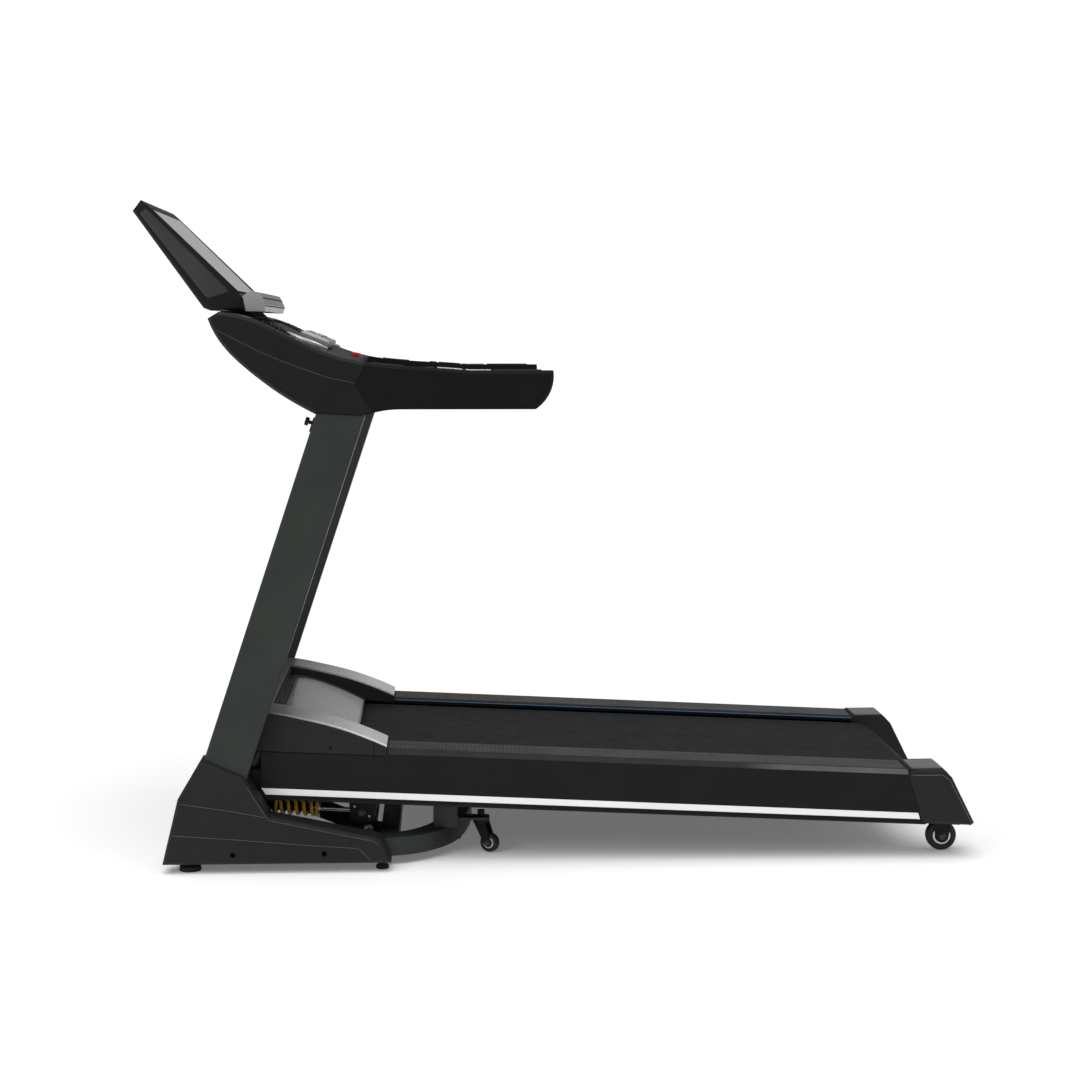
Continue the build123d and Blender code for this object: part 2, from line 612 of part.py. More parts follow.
def rollers():
    reach = DECK_TUBE_Y[0]
    places = {"front_roller": FRONT_ROLLER_U, "rear_roller": REAR_ROLLER_U}
    axles = [rod_y(u, ROLLER_W, AXLE_R, -reach, reach) for u in places.values()]
    save("roller_axles", *on_deck(*axles))
    cap = 14
    bore = AXLE_R + FIT
    for name, u in places.items():
        roller = ring_y(u, ROLLER_W, ROLLER_R, ROLLER_R - 3, -ROLLER_HALF, ROLLER_HALF)
        for y0 in (-ROLLER_HALF, ROLLER_HALF - cap):
            roller = roller + ring_y(u, ROLLER_W, ROLLER_R - 2, bore, y0, y0 + cap)
        if name == "front_roller":
            roller = roller + ring_y(u, ROLLER_W, 22, bore, -PULLEY_OUT, -ROLLER_HALF)
            roller = roller + ring_y(u, ROLLER_W, PULLEY_R, bore, -PULLEY_OUT, PULLEY_WIDE - PULLEY_OUT)
        save(name, *on_deck(roller))


def drive():
    """Motor with its rotor and pulley, the ribbed belt, the controller and the pan below them."""
    y0, y1 = -PULLEY_OUT, PULLEY_WIDE - PULLEY_OUT
    body = rod_y(MOTOR_U, MOTOR_W, MOTOR_R, -150, 60) - rod_y(MOTOR_U, MOTOR_W, MOTOR_SHAFT_R + FIT, -151, 40)
    feet = block(MOTOR_U - 40, MOTOR_U + 40, -130, 40, 24, 36)
    save("drive_motor", *on_deck(body + feet))
    rotor = rod_y(MOTOR_U, MOTOR_W, MOTOR_SHAFT_R, y0, 30)
    flywheel = rod_y(MOTOR_U, MOTOR_W, 54, -200, -172)
    pulley = rod_y(MOTOR_U, MOTOR_W, MOTOR_PULLEY_R, y0, y1)
    save("motor_rotor", *on_deck(rotor + flywheel + pulley))
    outside = drive_loop(DRIVE_BELT_GAP + DRIVE_BELT_THICK, y0 + 2, y1 - 2)
    save("ribbed_belt", *on_deck(outside - drive_loop(DRIVE_BELT_GAP, y0 + 1, y1 - 1)))
    u0, u1, low, high = -24, 150, 62, 104
    case = block(u0, u1, 110, 250, low, high)
    case = case - block(u0 + WALL, u1 - WALL, 110 + WALL, 250 - WALL, low + WALL, high + 6)
    fins = block(u0, u1, 112, 118, high, high + 8) + block(u0, u1, 140, 146, low - 2, high + 8)
    save("motor_controller", *on_deck(case + fins))
    thin, floor_w = 2.5, -17
    pan = block(-26, 236, -250, 250, floor_w, floor_w + thin)
    pan = pan + block(-26, thin - 26, -250, 250, floor_w, -13.9)
    pan = pan + block(236 - thin, 236, -250, 250, floor_w, 4)
    save("motor_pan", *on_deck(pan))


def drive_loop(grow, y0, y1):
    """Solid round the motor pulley and the front roller's pulley."""
    small, large = MOTOR_PULLEY_R + grow, PULLEY_R + grow
    du, dw = FRONT_ROLLER_U - MOTOR_U, ROLLER_W - MOTOR_W
    reach = hypot(du, dw)
    lean = atan2(dw, du)
    open_angle = atan2(large - small, (reach ** 2 - (large - small) ** 2) ** 0.5)
    corners = []
    for sign in (1, -1):
        angle = lean + sign * (radians(90) + open_angle)
        small_point = (MOTOR_U + small * cos(angle), MOTOR_W + small * sin(angle))
        large_point = (FRONT_ROLLER_U + large * cos(angle), ROLLER_W + large * sin(angle))
        corners.append((small_point, large_point))
    quad = polygon([corners[0][0], corners[0][1], corners[1][1], corners[1][0]])
    ends = rod_y(MOTOR_U, MOTOR_W, small, y0, y1) + rod_y(FRONT_ROLLER_U, ROLLER_W, large, y0, y1)
    return ends + slab(quad, y0, y1)


def side_rails():
    """Side rails: a thin folded section, cut low under the motor hood."""
    y0, y1 = RAIL_Y
    w0, w1 = RAIL_W
    under_top, foot_y, shoulder = w1 - WALL, 372, 94
    outside = [(y1, w0), (y1, shoulder), (384, w1), (y0 + 3, w1), (y0, under_top), (y0, 91.5)]
    outside += [(y0 + WALL, 91.5)]
    inside = [(y0 + WALL, under_top), (383, under_top), (y1 - WALL, shoulder - 1), (y1 - WALL, w0 + WALL)]
    section = polygon([*outside, *inside, (foot_y, w0 + WALL), (foot_y, w0)])
    front = Plane(origin=(RAIL_U[0], 0, 0), x_dir=(0, 1, 0), z_dir=(1, 0, 0))
    rail = extrude(front * section, RAIL_U[1] - RAIL_U[0])
    rail = rail - block(0, HOOD_END + 0.5, 200, 400, 88.6, 120)
    save("side_rails", *on_deck(*pair(rail)))


def dropped(line, drop):
    return [(u, w - drop) for u, w in line]


def motor_hood():
    """Hood over the drive: a shell with a sunk well, its silver strips and the panel in the well."""
    edge = RAIL_Y[1]
    inner = edge - WALL
    line = dropped(HOOD_LINE, 5)
    front = Spline((-58, 89.6), (-56, 130), (-30, 163))
    rear_foot, front_foot = (HOOD_END, 89.2), (-58, 89.6)
    face = make_face([Spline(*line), Line(line[-1], rear_foot), Line(rear_foot, front_foot), front])
    outer = slab(face, -edge, edge)
    inside = slab(shrink(face, WALL), -inner, inner)
    below = block(-55, HOOD_END - WALL, -inner, inner, 80, 93)
    floor_line = dropped(PANEL_LINE, -WALL)
    recess = slab(under_curve(floor_line, [(400, 92), (400, 220), (46, 220)]), -WELL_HALF, WELL_HALF)
    pit = under_curve(PANEL_LINE, [(400, 88), (400, 220), (43, 220)])
    pit = slab(pit, -WELL_HALF - WALL, WELL_HALF + WALL)
    hood = (outer - inside - below - pit) + (outer & (pit - recess))
    hood = hood - block(PANEL_LINE[-1][0], 400, -WELL_HALF, WELL_HALF, 60, 130)
    hood = hood - block(HOOD_END - 30, HOOD_END + 1, 276, 389, 60, 104.3)
    save("motor_hood", *on_deck(hood))

    skin = band(HOOD_LINE, dropped(HOOD_LINE, 4.8))
    rim = slab(skin, -277.6, 277.6) & block(-40, 42.6, -300, 300, 100, 200)
    save("hood_strips", *on_deck(*pair(slab(skin, RAIL_Y[0], 388)), rim))

    panel = slab(band(dropped(PANEL_LINE, -6.3), dropped(PANEL_LINE, -3.3)), -PANEL_HALF, PANEL_HALF)
    round_end = rod_y(330, 140, 104, -300, 300)
    save("hood_panel", *on_deck(panel - round_end))


def rear_caps():
    shape = polygon([(1451, 91), (1455, 106), (1530, 110), (1551, 91), (1607, -9), (1600, -15), (1489, -14)])
    outer = slab(shape, 276, 395)
    edge = outer.edges().filter_by(lambda e: e.center().Y > 394)
    outer = chamfer(edge, 6, 5)
    inside = slab(shrink(shape, WALL), 279, 392) + block(1492, 1597, 279, 390, -30, 10)
    mouth = block(1400, 1500, 277.8, 392.6, -20, 104.5)
    axle_hole = rod_y(REAR_ROLLER_U, ROLLER_W, AXLE_R + 1, 270, 300)
    save("rear_caps", *on_deck(*pair(outer - inside - mouth - axle_hole)))


# ---- Wheels -------------------------------------------------------------------------
def wheel_solid(radius, width, bore):
    """Wheel about Y at the origin: tyre, web and hub, with a bore."""
    wheel = Rot(90, 0, 0) * Cylinder(radius, width)
    wheel = fillet(wheel.edges(), width * 0.2)
    for side in (-1, 1):
        dish = Rot(90, 0, 0) * Cylinder(radius * 0.66, 4) - Rot(90, 0, 0) * Cylinder(radius * 0.3, 6)
        wheel = wheel - Pos(0, side * (width / 2 - 1), 0) * dish
    return wheel - Rot(90, 0, 0) * Cylinder(bore, width + 4)


def rear_wheels():
    for name, side in (("rear_wheel_left", -1), ("rear_wheel_right", 1)):
        wheel = wheel_solid(WHEEL_R, 24, WHEEL_AXLE_R + FIT)
        save(name, Pos(WHEEL_X, side * WHEEL_Y, WHEEL_R) * wheel)
    u, axle_w, plate_w, thick = 1554, -57, -12.4, 3
    fork = block(1500, 1576, 290, 388, plate_w - thick, plate_w)
    for y0 in (WHEEL_Y - 16, WHEEL_Y + 13):
        shape = polygon([(u - 24, plate_w), (u + 22, plate_w), (u + 15, axle_w), (u - 15, axle_w)])
        ear = slab(shape, y0, y0 + thick)
        fork = fork + ear + rod_y(u, axle_w, 15, y0, y0 + thick)
    fork = fork + rod_y(u, axle_w, WHEEL_AXLE_R, WHEEL_Y - 20, WHEEL_Y + 20)
    save("wheel_forks", *on_deck(*pair(fork)))


def casters():
    """Swivel forks drawn trailing along +X, then turned to their rest angle, and their wheels."""
    inside, thick = 10.5, 2
    outside = inside + thick
    for name, side in (("left", -1), ("right", 1)):
        place = Pos(CASTER_X, side * CASTER_Y, 0) * Rot(0, 0, side * CASTER_YAW)
        fork = Pos(0, 0, 70) * Cylinder(16, 7.4) + Pos(0, 0, 80) * Cylinder(CASTER_STEM_R, 28)
        fork = fork + Pos(0, 0, 86) * extrude(RegularPolygon(9, 6), amount=8)
        fork = fork + block(-14, 14, -outside, outside, 66.3, 69)
        for y in (-outside, inside):
            low = [(CASTER_TRAIL + 9, CASTER_AXLE_Z), (CASTER_TRAIL - 8, CASTER_AXLE_Z - 4)]
            ear = slab(polygon([(-14, 70), (14, 70), *low]), y, y + thick)
            fork = fork + ear + rod_y(CASTER_TRAIL, CASTER_AXLE_Z, 9, y, y + thick)
        fork = fork + rod_y(CASTER_TRAIL, CASTER_AXLE_Z, CASTER_AXLE_R, -outside - 2.5, outside + 2.5)
        save(f"caster_fork_{name}", place * fork)
        wheel = Pos(CASTER_TRAIL, 0, CASTER_AXLE_Z) * wheel_solid(CASTER_R, 18, CASTER_AXLE_R + FIT)
        save(f"caster_wheel_{name}", place * wheel)


# ---- Lift frame, fold shaft, strut and incline motor ----------------------------------
def lift_frame():
    y0, y1 = ARM_Y
    arm = link(LIFT_X, LIFT_Z, FOLD_X, FOLD_Z, 36, y0, y1) + rod_y(FOLD_X, FOLD_Z, 21, y0, y1)
    frame = rod_y(LIFT_X, LIFT_Z, 17, -y0, y0) + arm + mirror(arm, about=Plane.XZ)
    for y in (-24, 18):
        frame = frame + link(LIFT_X, LIFT_Z, LIFT_X, LIFT_Z + LEVER, 24, y, y + 6)
    frame = frame + rod_y(LIFT_X, LIFT_Z + LEVER, LEVER_PIN_R, -26, 26)
    frame = frame - rod_y(FOLD_X, FOLD_Z, SHAFT_R + FIT, -400, 400)
    for low in (-400, 240):
        frame = frame - rod_y(LIFT_X, LIFT_Z, LIFT_PIN_R + FIT, low, low + 160)
    save("lift_frame", frame)


def fold_shaft():
    """Shaft through the deck and the lift arms, with the two plates that hold the strut's front pin."""
    x, z = STRUT_PIN
    outer, inner = -344, -300
    shaft = rod_y(FOLD_X, FOLD_Z, SHAFT_R, -388, 388) + rod_y(x, z, STRUT_PIN_R, outer, inner + 2)
    for y0 in (outer, inner - 6):
        shaft = shaft + link(FOLD_X, FOLD_Z, x, z, 22, y0, y0 + 6)
    save("fold_shaft", shaft)


def along_x(start, end, radius, y=0):
    """Cylinder along X."""
    return Pos((start + end) / 2, y, 0) * Rot(0, 90, 0) * Cylinder(radius, end - start)


def from_pin_to_pin(start, end, y):
    """Place for shapes drawn along +X from one pin, so that they reach the other; and the distance."""
    (x0, z0), (x1, z1) = start, end
    angle = degrees(atan2(z1 - z0, x1 - x0))
    return Pos(x0, y, z0) * Rot(0, -angle, 0), hypot(x1 - x0, z1 - z0)


def strut():
    """Strut drawn along +X from its front pin: cylinder, rod, and the spring between their collars."""
    place, length = from_pin_to_pin(STRUT_PIN, ROD_PIN, -STRUT_Y)
    collar, collar_r = 3, 19
    eye = rod_y(0, 0, 11, -9, 9)
    barrel = along_x(9, 134, 10) - along_x(30, 136, STRUT_PIN_R + FIT)
    cylinder = eye + barrel + along_x(SPRING_FROM - collar, SPRING_FROM, collar_r)
    save("strut_cylinder", place * (cylinder - rod_y(0, 0, STRUT_PIN_R + FIT, -10, 10)))
    ring = ring_y(length, 0, 17, ROD_EYE_R, -9, 9)
    rod = along_x(60, length - 13, STRUT_PIN_R) + along_x(SPRING_TO, SPRING_TO + collar, collar_r)
    save("strut_rod", place * (ring + rod))
    gap = SPRING_WIRE + 0.4
    coil_length = SPRING_TO - SPRING_FROM - 2 * gap
    helix = Helix(pitch=coil_length / SPRING_TURNS, height=coil_length, radius=SPRING_R)
    section = Plane(origin=helix @ 0, z_dir=helix % 0) * Circle(SPRING_WIRE)
    save("strut_spring", place * Pos(SPRING_FROM + gap, 0, 0) * Rot(0, 90, 0) * sweep(section, path=helix))


def incline_motor():
    """Gearmotor with its screw tube, drawn along +X from its pin, and the screw that it drives."""
    place, length = from_pin_to_pin(SCREW_START, (LIFT_X, LIFT_Z + LEVER), 0)
    eye = rod_y(0, 0, 12, -10, 10) + block(0, 30, -10, 10, -10, 10)
    gearbox = block(24, 74, -24, 78, -22, 22)
    motor = along_x(74, 170, 26, 50)
    tube = along_x(60, 262, 16) - along_x(90, 263, SCREW_R + FIT)
    save("incline_motor", place * (eye + gearbox + motor + tube - rod_y(0, 0, LEVER_PIN_R + FIT, -20, 20)))
    screw = along_x(150, length - 14, SCREW_R) + rod_y(length, 0, 19, -9, 9)
    save("incline_screw", place * (screw - rod_y(length, 0, 9.6, -12, 12)))


def power_inlet():
    """Inlet socket and rocker switch on the hood's front wall."""
    frame = block(-68, -59.2, 180, 262, 20, 60) - block(-70, -62, 186, 214, 30, 50)
    frame = frame - block(-70, -58, 226, 252, 28, 52)
    save("power_inlet", *on_deck(frame))
    rocker = block(-71, -60, 226.6, 251.4, 29, 51)
    rocker = rocker & (rod_y(-60, 40, 14, 226, 252))
    save("power_switch", *on_deck(rocker))


if __name__ == "__main__":
    base_frame_tubes()
    base_u_tube()
    lift_brackets()
    deck_rest_posts()
    rubber_feet()
    uprights()
    base_covers()
    upright_knobs()
    side_uppers()
    dash()
    console_frame()
    cup_holders()
    control_pod()
    safety_key()
    handle_rockers()
    console()
    deck_frame()
    running_surface()
    rollers()
    drive()
    side_rails()
    motor_hood()
    rear_caps()
    rear_wheels()
    casters()
    lift_frame()
    fold_shaft()
    strut()
    incline_motor()
    power_inlet()
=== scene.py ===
import json
from math import cos, pi, radians, sin, sqrt

import bmesh
import bpy
from mathutils import Euler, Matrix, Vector
from mathutils.bvhtree import BVHTree


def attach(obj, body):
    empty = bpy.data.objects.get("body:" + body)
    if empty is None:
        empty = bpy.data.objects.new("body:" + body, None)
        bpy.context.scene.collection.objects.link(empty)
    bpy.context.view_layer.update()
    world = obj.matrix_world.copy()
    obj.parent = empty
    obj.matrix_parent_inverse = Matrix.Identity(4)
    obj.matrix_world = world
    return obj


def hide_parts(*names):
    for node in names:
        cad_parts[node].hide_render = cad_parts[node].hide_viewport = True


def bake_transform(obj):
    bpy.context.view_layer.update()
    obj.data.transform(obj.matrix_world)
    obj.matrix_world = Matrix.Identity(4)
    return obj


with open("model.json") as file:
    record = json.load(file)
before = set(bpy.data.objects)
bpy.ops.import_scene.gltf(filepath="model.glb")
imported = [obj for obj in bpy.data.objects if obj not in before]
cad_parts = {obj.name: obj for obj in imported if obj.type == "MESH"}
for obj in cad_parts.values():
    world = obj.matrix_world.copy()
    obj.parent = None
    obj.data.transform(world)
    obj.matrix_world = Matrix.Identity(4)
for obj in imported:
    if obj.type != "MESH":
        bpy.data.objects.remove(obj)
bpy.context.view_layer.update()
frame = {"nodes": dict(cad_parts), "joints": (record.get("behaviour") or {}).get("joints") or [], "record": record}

MM = 0.001
SIDES = (("left", -1), ("right", 1))     # the machine's left is -Y
UP = Vector((0, 0, 1))
DOWN = Vector((0, 0, -1))

JOINTS = {joint["name"]: joint for joint in frame["joints"]}

# The deck's own frame: along, across and square to the deck, from the fold shaft.
FOLD = JOINTS["fold"]["pos_m"]
DECK_SLOPE = radians(2.75)
DECK_ALONG = Vector((cos(DECK_SLOPE), 0, -sin(DECK_SLOPE)))
DECK_UP = Vector((sin(DECK_SLOPE), 0, cos(DECK_SLOPE)))


def deck(u, y, w):
    """World point of a place in the deck's own frame, given in mm."""
    return Vector(FOLD) + (DECK_ALONG * u + DECK_UP * w) * MM + Vector((0, y * MM, 0))


def at(x, y, z):
    """World point given in mm."""
    return Vector((x, y, z)) * MM


# ---- Materials ------------------------------------------------------------------------
def new_node(tree, kind, **values):
    """Shader node whose settings or input values are given by name, with _ for a space."""
    made = tree.nodes.new("ShaderNode" + kind)
    for key, value in values.items():
        if hasattr(made, key):
            setattr(made, key, value)
        else:
            made.inputs[key.replace("_", " ")].default_value = value
    return made


def remap(tree, source, low, high, low_in=0.0, high_in=1.0):
    """Output that goes from low to high while source goes from low_in to high_in."""
    made = new_node(tree, "MapRange", From_Min=low_in, From_Max=high_in, To_Min=low, To_Max=high)
    tree.links.new(source, made.inputs["Value"])
    return made.outputs["Result"]


def multiply(tree, first, second):
    made = new_node(tree, "Math", operation="MULTIPLY")
    tree.links.new(first, made.inputs[0])
    tree.links.new(second, made.inputs[1])
    return made.outputs[0]


def textured(tree, place, pattern, scale, stretch):
    """Height of one of the surface patterns, from 0 to 1."""
    mapping = new_node(tree, "Mapping")
    mapping.inputs["Scale"].default_value = stretch
    tree.links.new(place, mapping.inputs["Vector"])
    if pattern == "dots":
        made = new_node(tree, "TexVoronoi", feature="F1", Scale=scale, Randomness=0.0)
        output = remap(tree, made.outputs["Distance"], 1.0, 0.0, 0.15, 0.5)
    elif pattern == "pebble":
        made = new_node(tree, "TexVoronoi", feature="SMOOTH_F1", Scale=scale, Smoothness=0.6)
        output = made.outputs["Distance"]
    else:
        made = new_node(tree, "TexNoise", Scale=scale, Detail=4.0, Roughness=0.6)
        output = made.outputs["Fac"]
    tree.links.new(mapping.outputs["Vector"], made.inputs["Vector"])
    return output


def surface_material(name, base, rough, pattern="grain", scale=900.0, stretch=(1, 1, 1), depth=0.05,
                     mottle=0.18, spread=0.07, edge=0.0015, wear=1.5, fade=None, **shader_values):
    """A material with colour variation, a fine pattern, uneven gloss, and rounded edges lightened in colour: a
    painted edge highlight, partly edge wear.

    fade is (axis, from, to, colour at the far end), a slow change of colour along the object, in metres."""
    made = bpy.data.materials.new(name)
    made.use_nodes = True
    tree = made.node_tree
    tree.nodes.clear()
    output = new_node(tree, "OutputMaterial")
    shader = new_node(tree, "BsdfPrincipled")
    tree.links.new(shader.outputs["BSDF"], output.inputs["Surface"])
    place = new_node(tree, "TexCoord").outputs["Object"]

    cloud = new_node(tree, "TexNoise", Scale=7.0, Detail=5.0, Roughness=0.55)
    tree.links.new(place, cloud.inputs["Vector"])
    tone = remap(tree, cloud.outputs["Fac"], 1 - mottle, 1 + mottle, 0.3, 0.7)

    height = textured(tree, place, pattern, scale, stretch)
    tone = multiply(tree, tone, remap(tree, height, 1.0, 1.1, 0.35, 0.75))

    # Painted edge highlight, partly edge wear: the colour is lightened where the bevel normal turns away from the
    # face.
    rounding = new_node(tree, "Bevel", samples=4, Radius=edge)
    flat = new_node(tree, "NewGeometry")
    turned = new_node(tree, "VectorMath", operation="DOT_PRODUCT")
    tree.links.new(rounding.outputs["Normal"], turned.inputs[0])
    tree.links.new(flat.outputs["Normal"], turned.inputs[1])
    tone = multiply(tree, tone, remap(tree, turned.outputs["Value"], 1 + 0.55 * wear, 1.0, 0.90, 0.995))

    tinted = new_node(tree, "VectorMath", operation="SCALE")
    tinted.inputs[0].default_value = base
    if fade:
        axis, start, end, far = fade
        parts = new_node(tree, "SeparateXYZ")
        tree.links.new(place, parts.inputs["Vector"])
        mix = new_node(tree, "Mix", data_type="RGBA")
        tree.links.new(remap(tree, parts.outputs[axis], 0.0, 1.0, start, end), mix.inputs[0])
        mix.inputs[6].default_value = (*base, 1)
        mix.inputs[7].default_value = (*far, 1)
        tree.links.new(mix.outputs[2], tinted.inputs[0])
    tree.links.new(tone, tinted.inputs["Scale"])
    tree.links.new(tinted.outputs["Vector"], shader.inputs["Base Color"])

    smears = new_node(tree, "TexNoise", Scale=26.0, Detail=6.0, Roughness=0.6)
    tree.links.new(place, smears.inputs["Vector"])
    glossy, dull = max(rough - spread, 0.02), min(rough + spread, 1.0)
    gloss = remap(tree, smears.outputs["Fac"], glossy, dull, 0.3, 0.7)
    tree.links.new(gloss, shader.inputs["Roughness"])

    bump = new_node(tree, "Bump", Strength=0.6, Distance=depth * MM)
    tree.links.new(height, bump.inputs["Height"])
    tree.links.new(rounding.outputs["Normal"], bump.inputs["Normal"])
    tree.links.new(bump.outputs["Normal"], shader.inputs["Normal"])
    for key, value in shader_values.items():
        shader.inputs[key.replace("_", " ")].default_value = value
    return made


# One finish per material slot. depth is the height of the fine pattern, in mm.
FINISHES = {
    "frame_paint": dict(base=(0.019, 0.024, 0.020), rough=0.46, scale=1400, depth=0.03,
                        Specular_IOR_Level=0.28),
    "black_paint": dict(base=(0.0065, 0.0062, 0.0060), rough=0.44, scale=1200, depth=0.03,
                        Specular_IOR_Level=0.15),
    "cover_plastic": dict(base=(0.0125, 0.0118, 0.0114), rough=0.56, scale=1100, depth=0.08, wear=2.2,
                          Specular_IOR_Level=0.2),
    "cowl_plastic": dict(base=(0.0065, 0.0065, 0.0066), rough=0.42, scale=1500, depth=0.02, wear=2.0,
                         Specular_IOR_Level=0.16),
    "grip_plastic": dict(base=(0.0040, 0.0042, 0.0040), rough=0.6, pattern="dots", scale=330,
                         depth=0.22, Specular_IOR_Level=0.11),
    "silver_trim": dict(base=(0.36, 0.365, 0.37), rough=0.34, scale=1800, depth=0.015, mottle=0.06,
                        wear=0.4, Metallic=0.55),
    "gloss_panel": dict(base=(0.062, 0.065, 0.068), rough=0.2, scale=400, depth=0.01, mottle=0.1,
                        wear=1.0, Coat_Weight=0.6, Coat_Roughness=0.12),
    # The display's pale grey colour, its faint streaks and its glow are a painted reflection on the screen glass.
    "display": dict(base=(0.80, 0.805, 0.81), rough=0.2, scale=5, stretch=(1, 0.2, 1), depth=0.002,
                    mottle=0.04, wear=0.0, Coat_Weight=1.0, Coat_Roughness=0.06,
                    Emission_Color=(0.9, 0.93, 1.0, 1.0), Emission_Strength=0.2),
    "belt_rubber": dict(base=(0.0060, 0.0064, 0.0070), rough=0.62, pattern="pebble", scale=520,
                        stretch=(0.35, 1, 1), depth=0.25, Specular_IOR_Level=0.15),
    "board_wood": dict(base=(0.012, 0.011, 0.010), rough=0.5, scale=60, stretch=(0.12, 1.6, 1.6),
                       depth=0.06, mottle=0.3, Specular_IOR_Level=0.2),
    "bright_steel": dict(base=(0.52, 0.52, 0.53), rough=0.3, scale=300, stretch=(1, 0.05, 1),
                         depth=0.02, mottle=0.08, wear=0.2, Metallic=1.0),
    "soft_rubber": dict(base=(0.012, 0.012, 0.012), rough=0.72, scale=700, depth=0.1,
                        Specular_IOR_Level=0.3),
    "wheel_tyre": dict(base=(0.012, 0.012, 0.0115), rough=0.55, scale=800, depth=0.08,
                       Specular_IOR_Level=0.35),
    "spring_paint": dict(base=(0.62, 0.36, 0.03), rough=0.36, scale=900, depth=0.04, mottle=0.25,
                         Specular_IOR_Level=0.5),
    "red_plastic": dict(base=(0.50, 0.012, 0.010), rough=0.3, scale=900, depth=0.02, wear=0.6),
    "key_plastic": dict(base=(0.20, 0.205, 0.21), rough=0.4, scale=1000, depth=0.03, mottle=0.08,
                        wear=0.5),
    "sensor_plate": dict(base=(0.62, 0.62, 0.63), rough=0.16, scale=260, stretch=(0.08, 1, 1),
                         depth=0.01, mottle=0.05, wear=0.2, Metallic=1.0),
    "iron": dict(base=(0.09, 0.088, 0.085), rough=0.5, scale=420, depth=0.12, mottle=0.25,
                 Metallic=0.8),
    "case_aluminium": dict(base=(0.45, 0.46, 0.47), rough=0.34, scale=300, stretch=(0.06, 1, 1),
                           depth=0.02, mottle=0.08, wear=0.3, Metallic=1.0),
}
finishes = {slot: surface_material(slot, **values) for slot, values in FINISHES.items()}

# Finishes of single pieces and nodes: the slot that each belongs to, and its values.
EXTRA_FINISHES = {
    "belt_top": ("belt_rubber", dict(base=(0.0062, 0.0067, 0.0074), rough=0.6, pattern="pebble",
                                     scale=640, stretch=(0.3, 1, 1), depth=0.3,
                                     Specular_IOR_Level=0.16)),
    "tread_rubber": ("soft_rubber", dict(base=(0.026, 0.023, 0.020), rough=0.42, scale=300, depth=0.2,
                                         mottle=0.4, fade=("X", -0.3, 0.7, (0.040, 0.041, 0.043)),
                                         Specular_IOR_Level=0.5)),
    "white_stripe": ("silver_trim", dict(base=(0.86, 0.86, 0.86), rough=0.4, scale=1200, depth=0.01,
                                         mottle=0.02, wear=0.0)),
    "blue_line": ("silver_trim", dict(base=(0.03, 0.10, 0.20), rough=0.35, scale=1200, depth=0.01,
                                      wear=0.3)),
    # Hood strips: painted shade at the front, ramping along X to a painted highlight towards the rear.
    "strip_shade_and_highlight": ("silver_trim", dict(base=(0.078, 0.080, 0.082), rough=0.33, scale=1800, depth=0.015,
                                       mottle=0.05, wear=0.35,
                                       fade=("X", -0.64, -0.42, (0.74, 0.75, 0.76)), Metallic=0.3)),
    # Hood inlay: dark at the front, ramping along X to a painted glare towards the rear.
    "inlay_glare": ("gloss_panel", dict(base=(0.030, 0.031, 0.033), rough=0.3, scale=700, depth=0.004,
                                       mottle=0.04, wear=0.3,
                                       fade=("X", -0.66, -0.46, (0.42, 0.43, 0.44)), Coat_Weight=0.5,
                                       Coat_Roughness=0.15)),
    # Rail chamfer: black, ramping along X to a painted reflection towards the rear.
    "facet_reflection": ("black_paint", dict(base=(0.0075, 0.0070, 0.0066), rough=0.42, scale=1200,
                                       depth=0.03, wear=0.4,
                                       fade=("X", 0.40, 0.50, (0.085, 0.075, 0.068)),
                                       Specular_IOR_Level=0.2)),
    "oiled_steel": ("bright_steel", dict(base=(0.05, 0.05, 0.05), rough=0.4, scale=300, depth=0.02,
                                         wear=0.2, Specular_IOR_Level=0.2)),
    "side_panel": ("cowl_plastic", dict(base=(0.024, 0.024, 0.025), rough=0.5, scale=1300, depth=0.03,
                                        wear=0.6, Specular_IOR_Level=0.3)),
    "cap_gloss": ("gloss_panel", dict(base=(0.060, 0.061, 0.062), rough=0.22, scale=900, depth=0.02,
                                      mottle=0.15, wear=1.2, Coat_Weight=0.5, Coat_Roughness=0.1)),
    "dark_line": ("cowl_plastic", dict(base=(0.004, 0.004, 0.004), rough=0.7, scale=900, depth=0.03,
                                       wear=0.2, Specular_IOR_Level=0.15)),
    # Lighter than the cover plastic: a painted highlight along the base covers' creases and chamfer edge.
    "crease": ("cover_plastic", dict(base=(0.045, 0.043, 0.041), rough=0.5, scale=1100, depth=0.05,
                                     wear=0.4)),
    "wheel_ring": ("bright_steel", dict(base=(0.70, 0.66, 0.62), rough=0.3, scale=700, depth=0.02,
                                        mottle=0.06, wear=0.1, Metallic=0.6)),
    "dash_satin": ("gloss_panel", dict(base=(0.085, 0.088, 0.090), rough=0.38, scale=1200, depth=0.03,
                                       wear=0.5)),
}
for extra, (slot, values) in EXTRA_FINISHES.items():
    finishes[extra] = surface_material(extra, **values)
SLOT_OF = {slot: slot for slot in FINISHES}
SLOT_OF.update({extra: slot for extra, (slot, values) in EXTRA_FINISHES.items()})

NODE_FINISH = {"running_belt": "belt_top", "hood_strips": "strip_shade_and_highlight", "roller_axles": "oiled_steel",
               "fold_shaft": "oiled_steel"}
for part in frame["record"]["subparts"]:
    cad = frame["nodes"][part["node"]]
    cad.data.materials.clear()
    cad.data.materials.append(finishes[NODE_FINISH.get(part["node"], part["material_slot"])])


